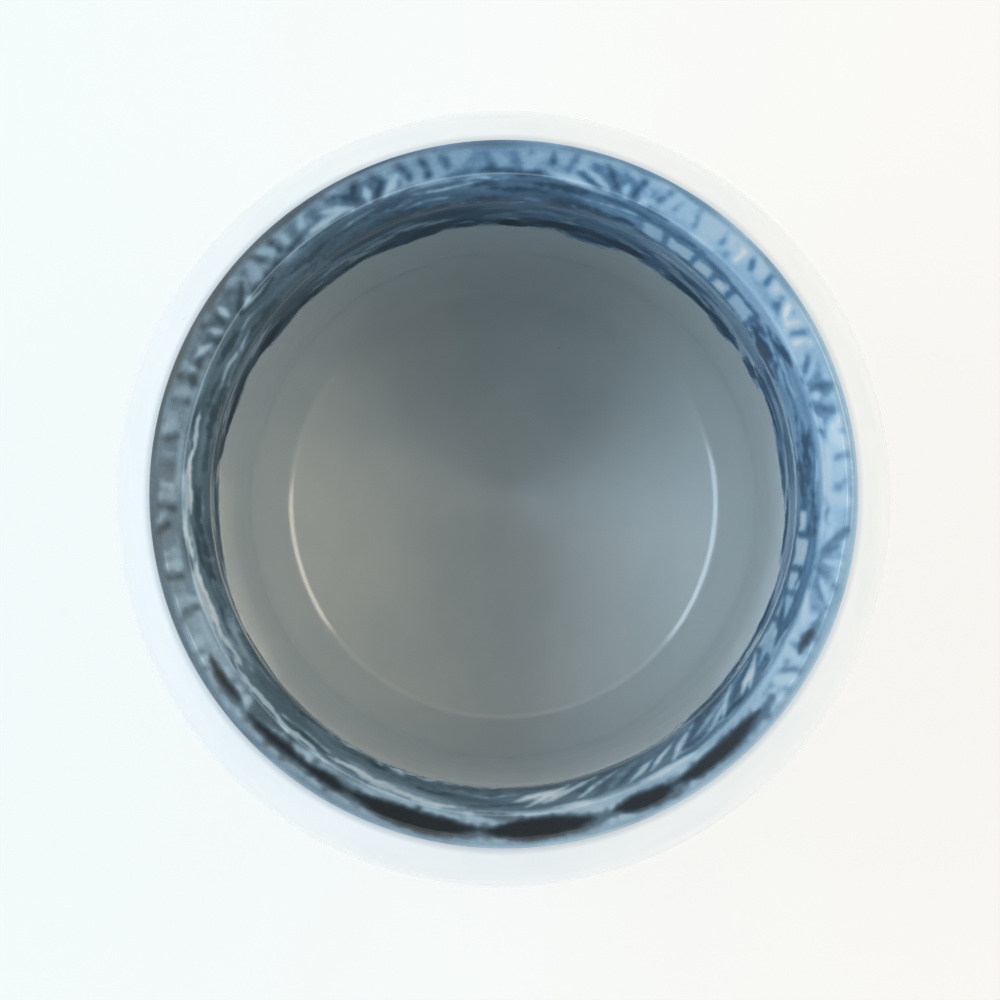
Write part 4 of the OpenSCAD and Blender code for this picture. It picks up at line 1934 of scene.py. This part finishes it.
@dataclass
class Studio:
    """The pale table, the soft light and the camera over the mouth."""

    profile: CupProfile
    lens: float = 140.0
    sensor: float = 36.0
    clip_start: float = 0.01
    camera_up: float = 0.42
    camera_y: float = -9 * MM
    aim: tuple[float, float] = (-0.37 * MM, -0.73 * MM)
    table: float = 3.0
    table_gap: float = 0.02 * MM
    table_colour: Colour = (0.86, 0.87, 0.87)
    table_roughness: float = 0.7
    table_shine: float = 0.2
    table_glow: float = 0.84
    table_left: Colour = (0.93, 1.0, 1.0)
    table_right: Colour = (1.0, 0.97, 0.93)
    tint_half: float = 0.1
    plain: Colour = (0.96, 0.99, 1.0)
    cool: Colour = (0.75, 0.95, 1.13)
    warm: Colour = (1.07, 0.96, 0.79)

    def build(self) -> None:
        """Sets up the stage."""
        scene = bpy.context.scene
        scene.view_settings.view_transform = "Standard"
        self._camera(scene)
        self._table(scene)
        self._world(scene)
        for lamp in (
            Lamp("left", azimuth=169.0, elevation=54.0, width=0.46, colour=self.cool),
            Lamp("right", azimuth=19.0, elevation=54.0, width=0.34, colour=self.warm),
        ):
            lamp.hang(self.profile.height)

    def _camera(self, scene: bpy.types.Scene) -> None:
        """Hangs the camera over the mouth, with +Y up in the picture.

        Args:
            scene: the scene that uses it.
        """
        data = bpy.data.cameras.new("camera")
        data.lens, data.sensor_width, data.clip_start = self.lens, self.sensor, self.clip_start
        camera = bpy.data.objects.new("camera", data)
        scene.collection.objects.link(camera)
        camera.location = (0.0, self.camera_y, self.profile.height + self.camera_up)
        target = Vector((*self.aim, self.profile.height))
        camera.rotation_euler = (target - camera.location).to_track_quat("-Z", "Y").to_euler()
        scene.camera = camera

    def _table(self, scene: bpy.types.Scene) -> None:
        """Lays the pale table a hair under the cup, so that the foot's face stays clear of it.

        Args:
            scene: the scene that it goes in.
        """
        half, z = self.table / 2, -self.table_gap
        mesh = bpy.data.meshes.new("table")
        corners = [(-half, -half, z), (half, -half, z), (half, half, z), (-half, half, z)]
        mesh.from_pydata(corners, [], [(0, 1, 2, 3)])
        mesh.materials.append(self._table_finish())
        table = bpy.data.objects.new("table", mesh)
        scene.collection.objects.link(table)

    def _table_finish(self) -> bpy.types.Material:
        """Makes the table's finish, which shows near white and keeps part of the cup's shadow.

        Returns:
            The material.
        """
        surface = Surface("table")
        finish = surface.finish(
            Base_Color=self.table_colour,
            Roughness=self.table_roughness,
            Specular_IOR_Level=self.table_shine,
        )
        path = surface.node("ShaderNodeLightPath").outputs
        rays = ("Is Camera Ray", "Is Glossy Ray", "Is Transmission Ray")
        camera, glossy, through = (Value(surface, path[ray]) for ray in rays)
        seen = surface.math("MINIMUM", camera + glossy + through, 1.0) * self.table_glow
        # Painted light: the glow is tinted cool on the left and warm on the right, in the colours of
        # the lamps on those sides.
        across = surface.parts(surface.place())[0].step(-self.tint_half, self.tint_half)
        tint = surface.mix(across, self.table_left, self.table_right)
        glow = surface.node("ShaderNodeEmission", None, {"Color": tint}).outputs[0]
        shade = surface.shader.outputs[0]
        both = surface.node("ShaderNodeMixShader", None, {0: seen, 1: shade, 2: glow}).outputs[0]
        surface.feed(surface.tree.nodes["Material Output"].inputs["Surface"], both)
        return finish

    def _world(self, scene: bpy.types.Scene) -> None:
        """Lights the scene all round.

        Args:
            scene: the scene that uses it.
        """
        world = bpy.data.worlds.new("studio")
        scene.world = world
        world.use_nodes = True
        tree = NodeTree(world.node_tree)
        colour, strength = Sky(self.plain, self.cool, self.warm).light(tree)
        background = world.node_tree.nodes["Background"]
        tree.feed(background.inputs["Color"], colour)
        tree.feed(background.inputs["Strength"], strength)


def main() -> None:
    """Builds the cup's pieces and the studio in order."""
    logging.basicConfig(level=logging.INFO, format="%(name)s: %(message)s")
    profile, lathe, lining = CupProfile(), Lathe(), LiningGlaze()
    GlazedBody(profile, lathe, HazedGlaze(), lining, PORCELAIN, SLIP).build()
    PaintedMouth(profile, lathe, CobaltPainting(lining), CobaltLine(lining)).build()
    Foot(profile, lathe, ClearGlaze(), BISCUIT, Silicone()).build()
    Studio(profile).build()


if __name__ == "__main__":
    main()
